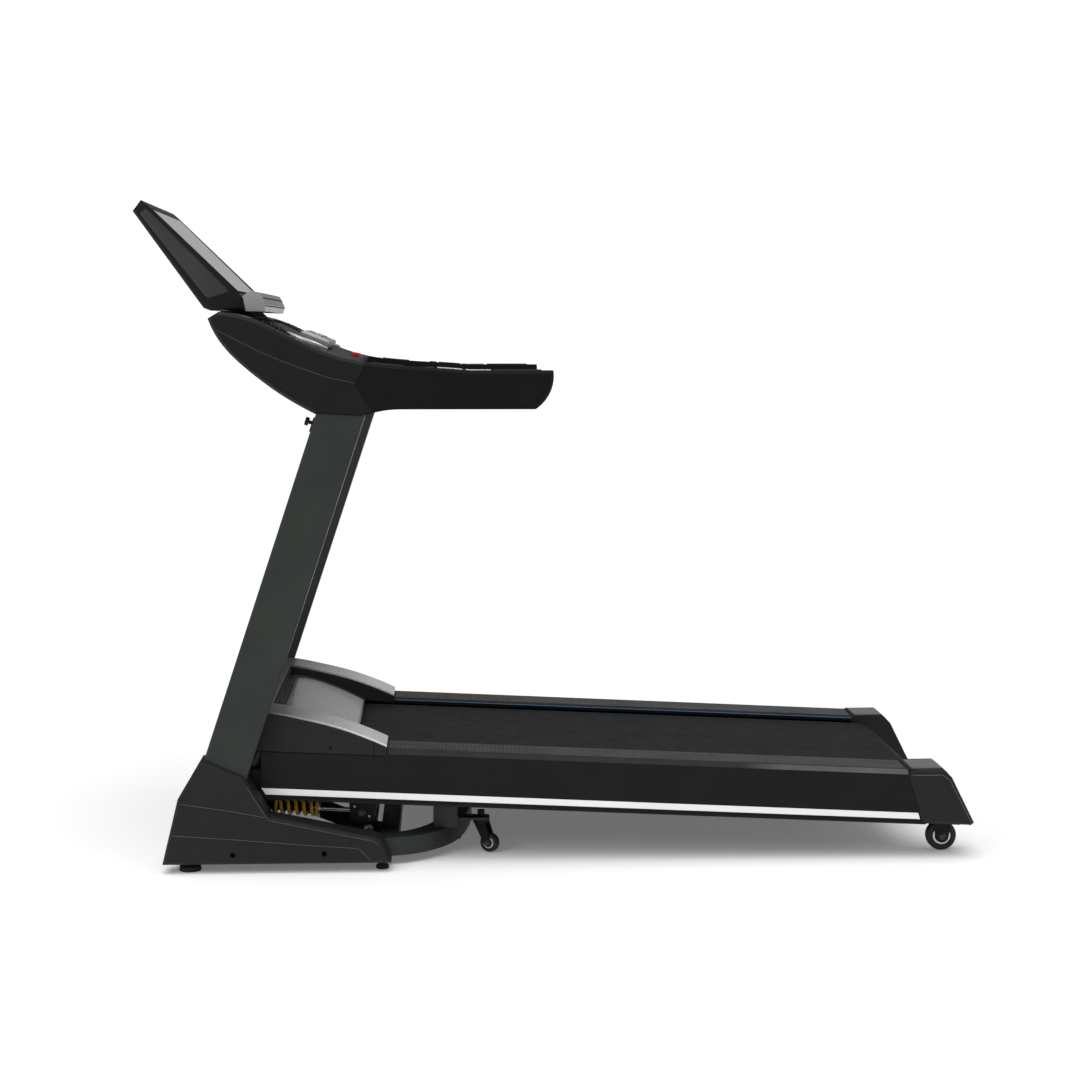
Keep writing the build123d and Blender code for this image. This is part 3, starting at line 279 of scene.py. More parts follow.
# ---- Mesh tools -----------------------------------------------------------------------
def make(name, verts, faces, finish, body, crisp=35):
    """A mesh piece, smooth except along edges sharper than crisp degrees, that rides on any given body."""
    mesh = bpy.data.meshes.new(name)
    mesh.from_pydata([tuple(v) for v in verts], [], faces)
    mesh.validate()
    work = bmesh.new()
    work.from_mesh(mesh)
    bmesh.ops.remove_doubles(work, verts=work.verts, dist=1e-6)
    bmesh.ops.recalc_face_normals(work, faces=work.faces)
    work.to_mesh(mesh)
    work.free()
    mesh.shade_smooth()
    mesh.set_sharp_from_angle(angle=radians(crisp))
    piece = bpy.data.objects.new(name, mesh)
    bpy.context.scene.collection.objects.link(piece)
    mesh.materials.append(finishes[finish])
    if body:
        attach(piece, body)
    return piece


def prism(name, outline, low, high, place, finish, body, width):
    """Solid between two offsets of an outline, its edges rounded; place(a, offset, b) gives its points."""
    count = len(outline)
    verts = [place(a, offset, b) for offset in (low, high) for a, b in outline]
    faces = [tuple(range(count)), tuple(range(2 * count - 1, count - 1, -1))]
    faces += [(i, (i + 1) % count, (i + 1) % count + count, i + count) for i in range(count)]
    bevel = make(name, verts, faces, finish, body).modifiers.new("round", "BEVEL")
    bevel.width = width
    bevel.segments = 2
    bevel.limit_method = "ANGLE"
    bevel.angle_limit = radians(35)


def grid_solid(name, top, bottom, columns, finish, body, crisp=35):
    """Closed plate from matching grids of top and bottom points, each row columns long."""
    rows = len(top) // columns
    offset = len(top)
    faces = []
    for r in range(rows - 1):
        for c in range(columns - 1):
            a, b = r * columns + c, (r + 1) * columns + c
            faces.append((a, a + 1, b + 1, b))
            faces.append((offset + a, offset + b, offset + b + 1, offset + a + 1))
    rim = [(0, c) for c in range(columns)] + [(r, columns - 1) for r in range(1, rows)]
    rim += [(rows - 1, c) for c in range(columns - 2, -1, -1)] + [(r, 0) for r in range(rows - 2, 0, -1)]
    ids = [r * columns + c for r, c in rim]
    for i, here in enumerate(ids):
        after = ids[(i + 1) % len(ids)]
        faces.append((here, after, after + offset, here + offset))
    make(name, top + bottom, faces, finish, body, crisp)


surfaces = {}


def surface(node):
    """The CAD node's surface, ready for casting rays at."""
    if node not in surfaces:
        mesh = frame["nodes"][node].data
        polygons = [tuple(polygon.vertices) for polygon in mesh.polygons]
        surfaces[node] = BVHTree.FromPolygons([vertex.co for vertex in mesh.vertices], polygons)
    return surfaces[node]


def touch(node, start, way):
    """Where a ray from start first meets a CAD node."""
    hit = surface(node).ray_cast(start, way)[0]
    if hit is None:
        raise ValueError(f"no surface of {node} from {tuple(start)} along {tuple(way)}")
    return hit


PLATE_SINK = 0.4      # how far a plate's underside lies inside the CAD node, in mm


def plate(name, node, stations, span, aim, thick, finish, body, columns, crown=0.0):
    """Thin plate that lies on a CAD node, its edges rounded off.

    aim(a, b) gives a point outside the node and the way towards it; span(a) is the plate's width there."""
    top, bottom = [], []
    last = len(stations) - 1
    for r, a in enumerate(stations):
        b0, b1 = span(a)
        for c in range(columns):
            share = c / (columns - 1)
            start, way = aim(a, b0 + (b1 - b0) * share)
            hit = touch(node, start, way)
            edge = c in (0, columns - 1) or r in (0, last)
            lift = thick * (0.35 if edge else 1.0) + crown * sin(pi * share)
            top.append(hit - way * lift * MM)
            bottom.append(hit + way * PLATE_SINK * MM)
    grid_solid(name, top, bottom, columns, finish, body)


def steps(start, end, count):
    """count + 1 even values from start to end."""
    return [start + (end - start) * i / count for i in range(count + 1)]


def rounded(start, end, count, radius):
    """Stations from start to end, crowded into the rounded ends, as plate() needs."""
    ends = [radius * (1 - cos(pi / 2 * i / 5)) for i in range(5)]
    middle = steps(start + radius, end - radius, count)
    return [start + e for e in ends] + middle + [end - e for e in reversed(ends)]


def corner(a, start, end, radius):
    """How far the sides draw in at station a, to round a plate's corners."""
    near = min(a - start, end - a)
    if near >= radius:
        return 0.0
    return radius - sqrt(max(radius ** 2 - (radius - near) ** 2, 0.0))


def rounded_plate(name, node, along, across, radius, rows, aim, thick, finish, body, columns,
                  crown=0.0, draw=1.0):
    """Plate with rounded corners between the limits along and across; draw widens the corners across."""
    start, end = along
    low, high = across
    inwards = draw if high > low else -draw

    def span(a):
        inset = inwards * corner(a, start, end, radius)
        return low + inset, high - inset

    plate(name, node, rounded(start, end, rows, radius), span, aim, thick, finish, body, columns, crown)


def tube(name, points, radius, finish, body, closed=False, sides=8, flat=1.0, up=Vector((0, 1, 0))):
    """Bead along a line of points; flat squashes its section along up."""
    count = len(points)
    verts, faces = [], []
    for i, point in enumerate(points):
        before = points[i - 1] if i or closed else point
        after = points[(i + 1) % count] if i < count - 1 or closed else point
        along = (after - before).normalized()
        across = along.cross(up).normalized()
        lift = across.cross(along).normalized()
        for k in range(sides):
            angle = 2 * pi * k / sides
            verts.append(point + (across * cos(angle) + lift * sin(angle) * flat) * radius * MM)
    for i in range(count if closed else count - 1):
        j = (i + 1) % count
        for k in range(sides):
            m = (k + 1) % sides
            faces.append((i * sides + k, i * sides + m, j * sides + m, j * sides + k))
    if not closed:
        faces += [tuple(range(sides)), tuple(range(count * sides - 1, (count - 1) * sides - 1, -1))]
    return make(name, verts, faces, finish, body, crisp=60)


def revolve(name, profile, centre, axis, finish, body, around=48):
    """Closed outline of (radius, height) in mm turned about an axis, in around steps."""
    axis = axis.normalized()
    side = axis.orthogonal().normalized()
    other = axis.cross(side)
    count = len(profile)
    verts, faces = [], []
    for i in range(around):
        angle = 2 * pi * i / around
        out = side * cos(angle) + other * sin(angle)
        verts += [centre + (out * radius + axis * height) * MM for radius, height in profile]
    for i in range(around):
        j = (i + 1) % around
        for k in range(count):
            m = (k + 1) % count
            faces.append((i * count + k, j * count + k, j * count + m, i * count + m))
    make(name, verts, faces, finish, body, crisp=28)


def screw_head(name, centre, axis, radius, finish, body):
    """Low domed head with a socket."""
    socket = radius * 0.42
    top = radius * 0.52
    floor = radius * 0.1
    profile = [(0.0, -0.5), (radius, -0.5), (radius, radius * 0.2), (radius * 0.86, radius * 0.42),
               (radius * 0.6, top), (socket, top), (socket, floor), (0.0, floor)]
    revolve(name, profile, centre, axis, finish, body, around=24)


def hex_nut(name, centre, axis, radius, finish, body):
    """Hexagon nut on a washer."""
    washer_top = 0.9
    nut_top = radius * 0.9
    nut = [(0.0, washer_top), (radius, washer_top), (radius, radius * 0.75), (radius * 0.88, nut_top),
           (0.0, nut_top)]
    revolve(name, nut, centre, axis, finish, body, around=6)
    ring = [(0.0, -0.3), (radius * 1.25, -0.3), (radius * 1.25, washer_top), (0.0, washer_top)]
    revolve(name + "_washer", ring, centre, axis, finish, body, around=28)


# ---- Deck -----------------------------------------------------------------------------
RAIL_OUT, RAIL_IN, RAIL_TOP = 392, 281, 104     # side rail faces, in the deck's frame
RAIL_START, RAIL_END = 33, 1453
RAIL_FOOT = -9.5
HOOD_END = 302


def stripe(side, s):
    """White stripe along the foot of a side rail."""
    outline = [(RAIL_START, 9), (1480, 9), (1485, -5), (RAIL_START + 10, -5)]
    prism(f"rail_stripe_{side}", outline, s * (RAIL_OUT - 0.3), s * (RAIL_OUT + 0.8),
          deck, "white_stripe", "deck", width=0.3 * MM)


def tread(side, s):
    """Foot board on a side rail, with a raised lattice of small diamonds."""
    pitch_u, pitch_y, height, base = 18.0, 10.0, 1.2, 1.0
    start, end, inner, outer = HOOD_END + 4, 1449, 290, 376
    rows, columns = 440, 40
    top, bottom = [], []
    for i in range(rows):
        u = start + (end - start) * i / (rows - 1)
        for k in range(columns):
            y = inner + (outer - inner) * k / (columns - 1)
            shift = abs((u / pitch_u + y / pitch_y) % 1 - 0.5) + abs((u / pitch_u - y / pitch_y) % 1 - 0.5)
            rise = base + height * max(0.0, 1 - abs(shift - 0.5) * 2.6)
            if i in (0, rows - 1) or k in (0, columns - 1):
                rise = 0.4
            top.append(deck(u, s * y, RAIL_TOP + rise))
            bottom.append(deck(u, s * y, RAIL_TOP - 0.4))
    grid_solid(f"tread_{side}", top, bottom, columns, "tread_rubber", "deck", crisp=50)


for side, s in SIDES:
    stripe(side, s)
    tread(side, s)
    line = [deck(u, s * (RAIL_IN - 2.8), RAIL_TOP - 5) for u in (HOOD_END + 2, 700, 1100, 1452)]
    tube(f"rail_blue_line_{side}", line, 1.5, "blue_line", "deck", up=DECK_UP)
    # The chamfer's finish lightens towards the rear as a painted reflection.
    facet = [(384.2, 104.5), (392.5, 94.2), (391.7, 93.6), (383.4, 103.6)]
    prism(f"rail_facet_{side}", facet, HOOD_END + 3, RAIL_END,
          lambda y, u, w, s=s: deck(u, s * y, w), "facet_reflection", "deck", width=0.2 * MM)
    lip = [deck(u, s * (RAIL_OUT + 0.1), RAIL_FOOT) for u in (RAIL_START, 700, 1487)]
    tube(f"rail_lip_{side}", lip, 1.2, "dark_line", "deck")

# Motor hood: a panel inlay with its border, and the seams and screws of its sides.
INLAY_START, INLAY_END, INLAY_HALF, INLAY_ROUND = 66, 229, 226, 26


def from_above(u, y):
    """A place well above the deck, and the way down to it."""
    return deck(u, y, 260), -DECK_UP


def inlay_span(u):
    """Width of the inlay, whose front corners are rounded and rear corners square."""
    half = INLAY_HALF - corner(u, INLAY_START, 2 * INLAY_END, INLAY_ROUND)
    return -half, half


plate("hood_inlay", "hood_panel", rounded(INLAY_START, INLAY_END, 16, INLAY_ROUND), inlay_span,
      from_above, 1.2, "inlay_glare", "deck", columns=31)
for label, grow, radius in (("inner", 5, 1.1), ("outer", 12, 0.8)):
    half, begin, curve = INLAY_HALF + grow, INLAY_START - grow, INLAY_ROUND + grow
    flank = [(u, half) for u in steps(INLAY_END - 2, begin + curve, 18)]
    flank += [(begin + curve * (1 - sin(pi / 2 * i / 7)), half - curve * (1 - cos(pi / 2 * i / 7)))
              for i in range(1, 8)]
    border = flank + [(u, -y) for u, y in reversed(flank)]
    line = [touch("hood_panel", *from_above(u, y)) + DECK_UP * 0.1 * MM for u, y in border]
    tube(f"hood_border_{label}", line, radius, "dark_line", "deck", up=DECK_UP, flat=0.5)

for side, s in SIDES:
    out = RAIL_OUT + 0.1
    seam = [deck(274, s * out, w) for w in (117, 104, 90.5)]
    tube(f"hood_seam_{side}", seam, 0.9, "dark_line", "deck", flat=0.5)
    foot = [deck(u, s * (out - 0.1), 90.2) for u in (-50, 120, 300)]
    tube(f"hood_foot_seam_{side}", foot, 0.8, "dark_line", "deck", flat=0.6)
    screw_head(f"hood_screw_{side}", deck(179, s * (RAIL_OUT - 0.3), 103), Vector((0, s, 0)), 3.4,
               "dark_line", "deck")

# Belt: the slanted join across it, and a hem along each edge.
BELT_TOP, BELT_HALF = 90, 258
join = [deck(980 + 0.25 * y, y, BELT_TOP + 0.02) for y in steps(-BELT_HALF + 1, BELT_HALF - 1, 12)]
tube("belt_join", join, 0.6, "dark_line", "deck", up=DECK_UP, flat=0.3)
for side, s in SIDES:
    hem = [deck(u, s * (BELT_HALF - 5), BELT_TOP + 0.03) for u in steps(216, 1470, 8)]
    tube(f"belt_hem_{side}", hem, 0.7, "tread_rubber", "deck", up=DECK_UP, flat=0.35)

# Rear caps: a glossy top plate, the screw that sets the belt's tension, and a crease.
CAP_BACK_WAY = (DECK_ALONG * 1.75 + DECK_UP).normalized()      # square to a cap's slanted rear face
CAP_CREASE = ((1462, 93.6), (1500, 94.6), (1529, 97), (1546, 84.5), (1574, 36), (1599, -7))
for side, s in SIDES:
    rounded_plate(f"cap_plate_{side}", "rear_caps", (1461, 1546), (s * 287, s * 384), 6, 12,
                  from_above, 1.4, "cap_gloss", "deck", columns=11)
    spot = touch("rear_caps", deck(1700, s * 336, 46), -DECK_ALONG)
    screw_head(f"tension_screw_{side}", spot, CAP_BACK_WAY, 7.5, "bright_steel", "deck")
    inwards = Vector((0, -s, 0))
    band = [touch("rear_caps", deck(u, s * 460, w), inwards) - inwards * 0.05 * MM for u, w in CAP_CREASE]
    tube(f"cap_crease_{side}", band, 0.8, "cap_gloss", "deck", flat=0.6)


# ---- Wheels ---------------------------------------------------------------------------
def wheel_trim(wheel, joint, radius, half):
    """Hub ring and seal on both faces of a wheel, and ribs round its tread."""
    axis = Vector(joint["axis"])
    centre = Vector(joint["pos_m"])
    face = half - 3.0
    ring = [(radius * 0.40, face), (radius * 0.60, face), (radius * 0.60, face + 2.2),
            (radius * 0.55, face + 2.9), (radius * 0.46, face + 2.9), (radius * 0.40, face + 2.0)]
    seal = [(radius * 0.31, face - 0.2), (radius * 0.38, face - 0.2), (radius * 0.38, face + 1.0),
            (radius * 0.31, face + 1.2)]
    for label, turn in (("a", 1), ("b", -1)):
        revolve(f"{wheel}_ring_{label}", ring, centre, axis * turn, "wheel_ring", wheel)
        revolve(f"{wheel}_seal_{label}", seal, centre, axis * turn, "dark_line", wheel)
    for label, offset in (("a", -0.42), ("b", 0.0), ("c", 0.42)):
        mid = offset * half
        rib = [(radius - 0.6, mid - 0.8), (radius + 0.05, mid - 0.8), (radius + 0.25, mid - 0.4),
               (radius + 0.25, mid + 0.4), (radius + 0.05, mid + 0.8), (radius - 0.6, mid + 0.8)]
        revolve(f"{wheel}_tread_{label}", rib, centre, axis, "wheel_tyre", wheel)


REAR_WHEEL_R, REAR_WHEEL_HALF, REAR_FORK_OUT = 33.5, 12, 16.0
CASTER_R, CASTER_HALF, CASTER_FORK_OUT = 21, 9, 12.5
for side, s in SIDES:
    rear = JOINTS[f"rear_wheel_{side}_spin"]
    caster = JOINTS[f"caster_{side}_spin"]
    wheel_trim(f"rear_wheel_{side}", rear, REAR_WHEEL_R, REAR_WHEEL_HALF)
    wheel_trim(f"caster_wheel_{side}", caster, CASTER_R, CASTER_HALF)
    for label, turn in (("out", 1), ("in", -1)):
        way = Vector((0, s * turn, 0))
        hex_nut(f"wheel_nut_{side}_{label}", Vector(rear["pos_m"]) + way * REAR_FORK_OUT * MM, way, 7.5,
                "oiled_steel", "deck")
    for label, turn in (("out", 1), ("in", -1)):
        way = Vector(caster["axis"]) * turn
        hex_nut(f"caster_nut_{side}_{label}", Vector(caster["pos_m"]) + way * CASTER_FORK_OUT * MM, way,
                5.6, "oiled_steel", f"caster_fork_{side}")

# ---- Base -----------------------------------------------------------------------------
COVER_OUT = 465


def beside(x, z, s):
    """A place out beside the machine, and the way in towards it."""
    return at(x, s * (COVER_OUT + 60), z), Vector((0, -s, 0))


CREASES = {
    "upper": [(-817, 153.5), (-760, 145), (-700, 135.5), (-637, 123)],
    "lower": [(-834, 85), (-700, 75), (-565, 63), (-440, 53.5), (-432, 50), (-412, 28)],
    "edge": [(-674, 190), (-634, 124), (-628, 116.5), (-500, 89), (-403, 68.5), (-393, 61)],
}
for side, s in SIDES:
    outwards = Vector((0, s, 0))
    for label, points in CREASES.items():
        line = []
        for (x0, z0), (x1, z1) in zip(points, points[1:]):
            for share in (i / 6 for i in range(6)):
                start, way = beside(x0 + (x1 - x0) * share, z0 + (z1 - z0) * share, s)
                line.append(touch("base_covers", start, way))
        line.append(touch("base_covers", *beside(*points[-1], s)))
        # Each crease line is drawn lighter than the cover as a painted highlight.
        tube(f"cover_crease_{label}_{side}", line, 0.9, "crease", "base", flat=0.7)
    for label, x, z in (("front", -706, 41), ("rear", -510, 42)):
        screw_head(f"cover_screw_{label}_{side}", at(x, s * 452, z), outwards, 5.0, "dark_line", "base")
    for label, x, radius in (("front", -802, 23), ("rear", -386, 13.5)):
        rib = [(radius - 2, 2.0), (radius + 0.9, 2.0), (radius + 1.2, 3.2), (radius + 0.9, 4.4),
               (radius - 2, 4.4)]
        revolve(f"foot_rib_{label}_{side}", rib, at(x, s * 423, 0), UP, "soft_rubber", "base")
    pivot = Vector(JOINTS["incline"]["pos_m"])
    hex_nut(f"lift_nut_{side}", pivot + outwards * 307 * MM, outwards, 9, "bright_steel", "base")

# Uprights: a weld seam down the rear face, and two bolts on the inner face.
LEAN = radians(18.4)
UPRIGHT_FRONT = (-769, 239)


def on_upright(across, z):
    """Side-view point of an upright, across its width from the front edge."""
    x0, z0 = UPRIGHT_FRONT
    return x0 + (z - z0) * sin(LEAN) / cos(LEAN) + across / cos(LEAN), z


for side, s in SIDES:
    for label, z in (("low", 292), ("high", 330)):
        x, z = on_upright(50, z)
        screw_head(f"upright_bolt_{label}_{side}", at(x, s * 400, z), Vector((0, -s, 0)), 7,
                   "bright_steel", "base")
    weld = [at(x, s * 424, z) for x, z in (on_upright(99.0, z) for z in (214, 600, 975))]
    tube(f"upright_seam_{side}", weld, 1.0, "frame_paint", "base")

# ---- Strut and its lug ----------------------------------------------------------------
STRUT_FRONT, STRUT_REAR = at(-676, -325, 122), at(-433, -325, 106)
hex_nut("strut_nut_front", STRUT_FRONT + at(0, 27, 0), Vector((0, 1, 0)), 5, "oiled_steel", "fold_shaft")
hex_nut("strut_nut_rear", STRUT_REAR - at(0, 28, 0), Vector((0, -1, 0)), 7, "oiled_steel", "deck")


def strut_coil(start, end, radius, wire, turns, around=28):
    """Spring between the strut's collars, its end turns closed."""
    axis = (STRUT_REAR - STRUT_FRONT).normalized()
    side = Vector((0, 1, 0))
    other = axis.cross(side)
    first, last = STRUT_FRONT + axis * (start + wire) * MM, STRUT_FRONT + axis * (end - wire) * MM
    points = []
    for i in range(turns * around + 1):
        share = min(max((i / around - 0.8) / (turns - 1.6), 0.0), 1.0)
        angle = 2 * pi * i / around
        points.append(first.lerp(last, share) + (side * cos(angle) + other * sin(angle)) * radius * MM)
    coil = tube("strut_coil", points, wire, "spring_paint", None, sides=12, up=axis)
    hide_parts("strut_spring")
    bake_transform(coil)


strut_coil(49, 148, 15.5, 4.0, 7)
for index, (x, z) in enumerate(((-417, 98), (-449, 120))):
    screw_head(f"lug_bolt_{index}", at(x, -350, z), Vector((0, -1, 0)), 3.0, "bright_steel", "deck")

# ---- Handles --------------------------------------------------------------------------
SEAM = [(1010, -412), (1051, -435), (1091, -416)]      # chevron seam: height, x
TAIL = [(998, -53), (1036, -21), (1080, -15)]          # round rear end


def x_at(points, z):
    """x at height z on a line of (height, x) points."""
    for (z0, x0), (z1, x1) in zip(points, points[1:]):
        if z <= z1:
            return x0 + (x1 - x0) * (z - z0) / (z1 - z0)
    return points[-1][1]


GRIP_LOW, GRIP_HIGH, GRIP_MARGIN = 1010, 1070, 9


def grip(side, s, face, start_y, way):
    """Dotted grip panel on one side of a handle, from start_y mm on the handle's side of the machine."""
    def aim(share, z):
        x0, x1 = x_at(SEAM, z) + GRIP_MARGIN, x_at(TAIL, z) - GRIP_MARGIN
        return at(x0 + (x1 - x0) * share, s * start_y, z), Vector((0, s * way, 0))

    plate(f"grip_{face}_{side}", "handles", steps(0.0, 1.0, 60),
          lambda share: (GRIP_LOW, GRIP_HIGH), aim, 0.9, "grip_plastic", "base", columns=13)


def over(x, y):
    """A place above the handles and dash, and the way down."""
    return at(x, y, 1300), DOWN


TOP_PADS = (("front", -402, -336), ("middle", -284, -268), ("rear", -141, -40))
GRIP_LINE = ((-262, 1021), (-100, 1021), (-88, 1023), (-80, 1033))
COWL_CREASE = ((-726, 1166), (-697, 1151), (-630, 1117), (-562, 1090), (-494, 1066), (-436, 1054))
for side, s in SIDES:
    grip(side, s, "out", 480, -1)
    grip(side, s, "in", 380, 1)
    for label, start, end in TOP_PADS:
        rounded_plate(f"handle_pad_{label}_{side}", "handles", (start, end), (s * 411, s * 447), 4, 12,
                      over, 1.6, "soft_rubber", "base", columns=9, crown=0.6)
    recess = [at(x, s * 457, z) for x, z in GRIP_LINE]
    tube(f"grip_line_{side}", recess, 0.9, "dark_line", "base", flat=0.5)
    line = [touch("side_cowls", *beside(x, z, s)) for x, z in COWL_CREASE]
    tube(f"cowl_crease_{side}", line, 1.1, "side_panel", "base", flat=0.6)

# ---- Dash -----------------------------------------------------------------------------
DASH_TILT = radians(21.6)
DASH_ALONG = Vector((cos(DASH_TILT), 0, -sin(DASH_TILT)))
DASH_UP = Vector((sin(DASH_TILT), 0, cos(DASH_TILT)))
POD = at(-541, 0, 1140)


def on_dash(x, y, height, middle=POD):
    """World point of a place on the tilted dash, given in mm from middle."""
    return middle + (DASH_ALONG * x + DASH_UP * height) * MM + Vector((0, y * MM, 0))


def oval(half_x, half_y, y, height, count, middle=POD):
    """Closed line of points round an oval on the dash."""
    angles = [2 * pi * i / count for i in range(count)]
    return [on_dash(half_x * cos(angle), y + half_y * sin(angle), height, middle) for angle in angles]


BAR_START, BAR_PITCH, BAR_SLANT = -654, 8.5, 0.12
for side, s in SIDES:
    rounded_plate(f"dash_patch_{side}", "dash_top", (-702, -668), (s * 204, s * 388), 6, 8,
                  over, 1.0, "dash_satin", "base", columns=15)
    for index in range(7):
        x = BAR_START + index * BAR_PITCH
        bar = [touch("dash_top", *over(x + BAR_SLANT * (y - 190), s * y)) + at(0, 0, 1.6)
               for y in steps(196, 372, 8)]
        tube(f"dash_bar_{side}_{index}", bar, 2.4, "dark_line" if index % 2 else "cowl_plastic", "base",
             up=UP, flat=0.9)

# Key pod: a rim round it, a ring on each round key and two marks on each rocker.
POD_TOP, KEY_TOP = 14.1, 16.4
trim = [on_dash(x, y, POD_TOP) for x, y in ((-30, -144), (-30, 144), (30, 144), (30, -144))]
rim = []
for a, b in zip(trim, trim[1:] + trim[:1]):
    rim += [a + (b - a) * (0.03 + 0.94 * i / 6) for i in range(7)]
tube("pod_trim", rim, 1.3, "wheel_ring", "base", closed=True, up=DASH_UP)
for key, y in (("stop_key", -40), ("start_key", 40)):
    tube(f"{key}_ring", oval(7.5, 9, y, KEY_TOP, 28), 0.7, "white_stripe", key,
         closed=True, up=DASH_UP, flat=0.6)
for key, middle in (("speed_rocker", 104), ("incline_rocker", -104)):
    for label, offset in (("up", 12), ("down", -12)):
        mark = [on_dash(x, middle + offset, KEY_TOP) for x in (-4, 4)]
        tube(f"{key}_{label}_mark", mark, 0.8, "white_stripe", key, up=DASH_UP, flat=0.6)

# Cup holders and safety key.
CUP_X, CUP_Y, CUP_Z, CUP_RING_R = -548, 275, 1142, 46.5
for side, s in SIDES:
    ring = oval(CUP_RING_R, CUP_RING_R, 0, 2.4, 48, at(CUP_X, s * CUP_Y, CUP_Z))
    tube(f"cup_ring_{side}", ring, 2.0, "wheel_ring", "base", closed=True, up=DASH_UP)
KEY_TILT = radians(12)
key_way = Vector((sin(KEY_TILT), 0, cos(KEY_TILT)))
cap = [(0.0, 5.0), (10.0, 5.0), (12.0, 6.0), (11.5, 8.2), (8.0, 9.2), (0.0, 9.6)]
revolve("safety_key_cap", cap, at(-452, 0, 1105), key_way, "red_plastic", "safety_key", around=40)

# ---- Console --------------------------------------------------------------------------
BACK = ((-772, 1214), (-920, 1423))         # lower edge of the console's side, bottom and top
FACE = ((-688, 1238), (-897, 1440))         # upper edge of the console's side


def console_point(t, share):
    """Side-view point, t from bottom to top and share from the back edge to the face."""
    x0, z0 = [a + (b - a) * t for a, b in zip(*BACK)]
    x1, z1 = [a + (b - a) * t for a, b in zip(*FACE)]
    return x0 + (x1 - x0) * share, z0 + (z1 - z0) * share


PANEL_ROUND, PANEL_ROUND_ACROSS = 0.03, 0.1     # corner sizes of a side panel, as shares of the side
for side, s in SIDES:
    def side_on(t, share, s=s):
        return beside(*console_point(t, share), s)

    rounded_plate(f"console_side_{side}", "console_housing", (0.07, 0.955), (0.24, 0.86), PANEL_ROUND, 16,
                  side_on, 1.1, "side_panel", "base", columns=11, crown=0.5,
                  draw=PANEL_ROUND_ACROSS / PANEL_ROUND)
    seam = [touch("console_housing", *side_on(t, 0.17)) for t in steps(0.05, 0.96, 10)]
    tube(f"console_seam_{side}", seam, 0.8, "dark_line", "base", flat=0.6)



def side_line(ends):
    """Middle of a line in the side view, the way along it, and the way square to it, rearwards."""
    low, high = [at(x, 0, z) for x, z in ends]
    way = (high - low).normalized()
    return (low + high) / 2, way, Vector((way.z, 0, -way.x))


FACE_MID, FACE_ALONG, FACE_OUT = side_line(FACE)


def on_face(a, y, height):
    """World point of a place on the console's face, given in mm from its middle."""
    return FACE_MID + (FACE_ALONG * a + FACE_OUT * height) * MM + Vector((0, y * MM, 0))


half_a, half_y = 129, 255
corners = [on_face(a, y, 0.6) for a, y in ((-half_a, -half_y), (-half_a, half_y), (half_a, half_y),
                                          (half_a, -half_y))]
bezel = []
for a, b in zip(corners, corners[1:] + corners[:1]):
    bezel += [a + (b - a) * (0.01 + 0.98 * i / 10) for i in range(11)]
tube("display_bezel", bezel, 2.4, "dark_line", "base", closed=True, up=FACE_OUT, flat=0.7)
for side, s in SIDES:
    bead = [on_face(a, s * 268, 0.5) for a in steps(-136, 140, 6)]
    tube(f"display_frame_{side}", bead, 3.0, "cowl_plastic", "base", up=FACE_OUT, flat=0.5)
for index, (x, z) in enumerate(((-664, 1249.5), (-642.5, 1236), (-636.6, 1219))):
    line = [at(x, y, z) for y in steps(-274, 274, 10)]
    tube(f"chin_line_{index}", line, 1.3, "dark_line" if index else "wheel_ring", "base", up=UP)

# Console back: a service panel with its vents and screws.
BACK_MID, BACK_ALONG, BACK_IN = side_line(BACK)
BACK_OUT = -BACK_IN
VENT_START, VENT_PITCH, VENT_HALF = -40, 9, 90


def on_back(a, y):
    """A place 100 mm behind the console, and the way in towards it."""
    return BACK_MID + (BACK_ALONG * a + BACK_OUT * 100) * MM + Vector((0, y * MM, 0)), BACK_IN


rounded_plate("console_back_panel", "console_housing", (-92, 96), (-236, 236), 16, 12,
              on_back, 1.4, "side_panel", "base", columns=31)
for index in range(9):
    a = VENT_START + VENT_PITCH * index
    vent = [touch("console_housing", *on_back(a, y)) + BACK_OUT * 0.3 * MM
            for y in steps(-VENT_HALF, VENT_HALF, 6)]
    tube(f"console_vent_{index}", vent, 1.4, "dark_line", "base", up=BACK_OUT, flat=0.6)
for index, (a, y) in enumerate(((-78, -220), (-78, 220), (82, -220), (82, 220))):
    spot = touch("console_housing", *on_back(a, y)) + BACK_OUT * 1.2 * MM
    screw_head(f"console_screw_{index}", spot, BACK_OUT, 3.6, "bright_steel", "base")

# ---- Drive, under the hood ------------------------------------------------------------
FIN_START, FIN_PITCH, FIN_THICK, FIN_LOW, FIN_HIGH = -8, 18, 3, 104, 110
for index in range(9):
    u = FIN_START + index * FIN_PITCH
    fin = [(u, FIN_LOW), (u + FIN_THICK, FIN_LOW), (u + FIN_THICK, FIN_HIGH), (u, FIN_HIGH)]
    prism(f"controller_fin_{index}", fin, 150, 240, deck, "case_aluminium", "deck", width=0.4 * MM)

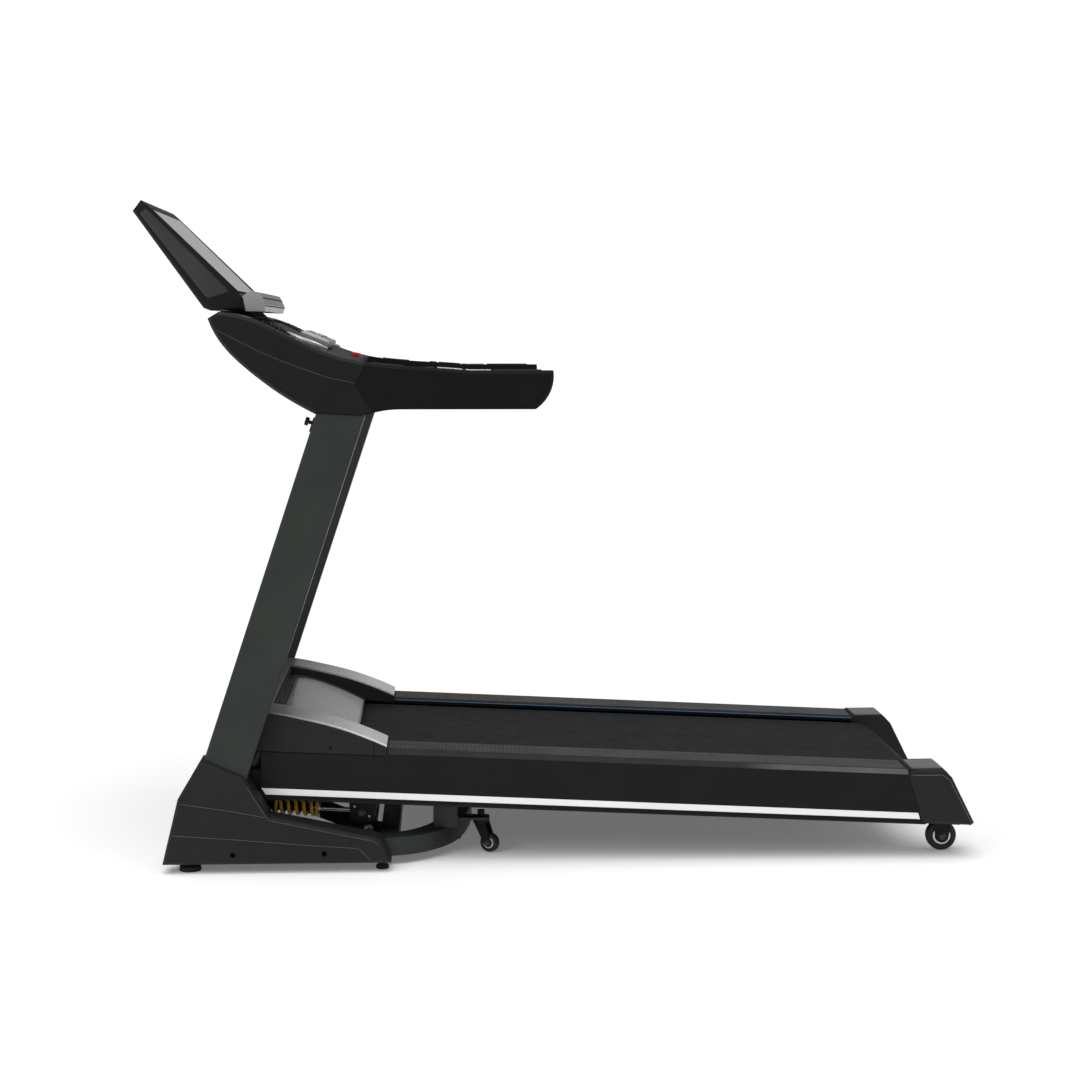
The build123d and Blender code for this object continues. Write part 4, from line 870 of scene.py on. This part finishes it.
# ---- Floor, light and camera ----------------------------------------------------------
def studio_floor(radius=40.0, around=96):
    """Pale paper that runs out of sight, just under the feet."""
    angles = [2 * pi * i / around for i in range(around)]
    verts = [(radius * cos(angle), radius * sin(angle), -0.0005) for angle in angles]
    mesh = bpy.data.meshes.new("floor")
    mesh.from_pydata(verts, [], [tuple(range(around))])
    floor = bpy.data.objects.new("floor", mesh)
    bpy.context.scene.collection.objects.link(floor)
    paper = bpy.data.materials.new("floor_paper")
    paper.use_nodes = True
    shader = paper.node_tree.nodes["Principled BSDF"]
    shader.inputs["Base Color"].default_value = (0.93, 0.93, 0.93, 1)
    shader.inputs["Emission Color"].default_value = (1, 1, 1, 1)
    shader.inputs["Emission Strength"].default_value = 0.14
    shader.inputs["Roughness"].default_value = 0.9
    shader.inputs["Specular IOR Level"].default_value = 0.1
    mesh.materials.append(paper)


def studio_world():
    """Bright white behind the object, and a dimmer white as its light."""
    world = bpy.data.worlds.new("studio")
    bpy.context.scene.world = world
    world.use_nodes = True
    tree = world.node_tree
    tree.nodes.clear()
    output = tree.nodes.new("ShaderNodeOutputWorld")
    seen, light = [tree.nodes.new("ShaderNodeBackground") for _ in range(2)]
    for background, strength in ((seen, 1.1), (light, 0.28)):
        background.inputs["Color"].default_value = (1, 1, 1, 1)
        background.inputs["Strength"].default_value = strength
    path = tree.nodes.new("ShaderNodeLightPath")
    chooser = tree.nodes.new("ShaderNodeMixShader")
    tree.links.new(path.outputs["Is Camera Ray"], chooser.inputs["Fac"])
    tree.links.new(light.outputs["Background"], chooser.inputs[1])
    tree.links.new(seen.outputs["Background"], chooser.inputs[2])
    tree.links.new(chooser.outputs["Shader"], output.inputs["Surface"])


def lamp(name, kind, energy, place, aim, **values):
    data = bpy.data.lights.new(name, kind)
    data.energy = energy
    for key, value in values.items():
        setattr(data, key, value)
    lit = bpy.data.objects.new(name, data)
    lit.location = place
    lit.rotation_euler = (Vector(aim) - Vector(place)).to_track_quat("-Z", "Y").to_euler()
    bpy.context.scene.collection.objects.link(lit)


studio_floor()
studio_world()
lamp("overhead", "SUN", 2.2, (-0.6, -1.2, 5.0), (0, 0, 0), angle=radians(70))
lamp("front_left", "AREA", 48, (-3.2, -3.6, 2.6), (-0.4, 0, 0.6), shape="RECTANGLE", size=2.4, size_y=1.6)

camera_data = bpy.data.cameras.new("camera")
camera_data.sensor_width = 36
camera_data.lens = 71.67
camera = bpy.data.objects.new("camera", camera_data)
camera.location = (-0.243, -5.0264, 1.1628)
camera.rotation_euler = Euler((radians(84.46), 0, radians(-2.49)))
bpy.context.scene.collection.objects.link(camera)
bpy.context.scene.camera = camera
bpy.context.scene.view_settings.view_transform = "Standard"
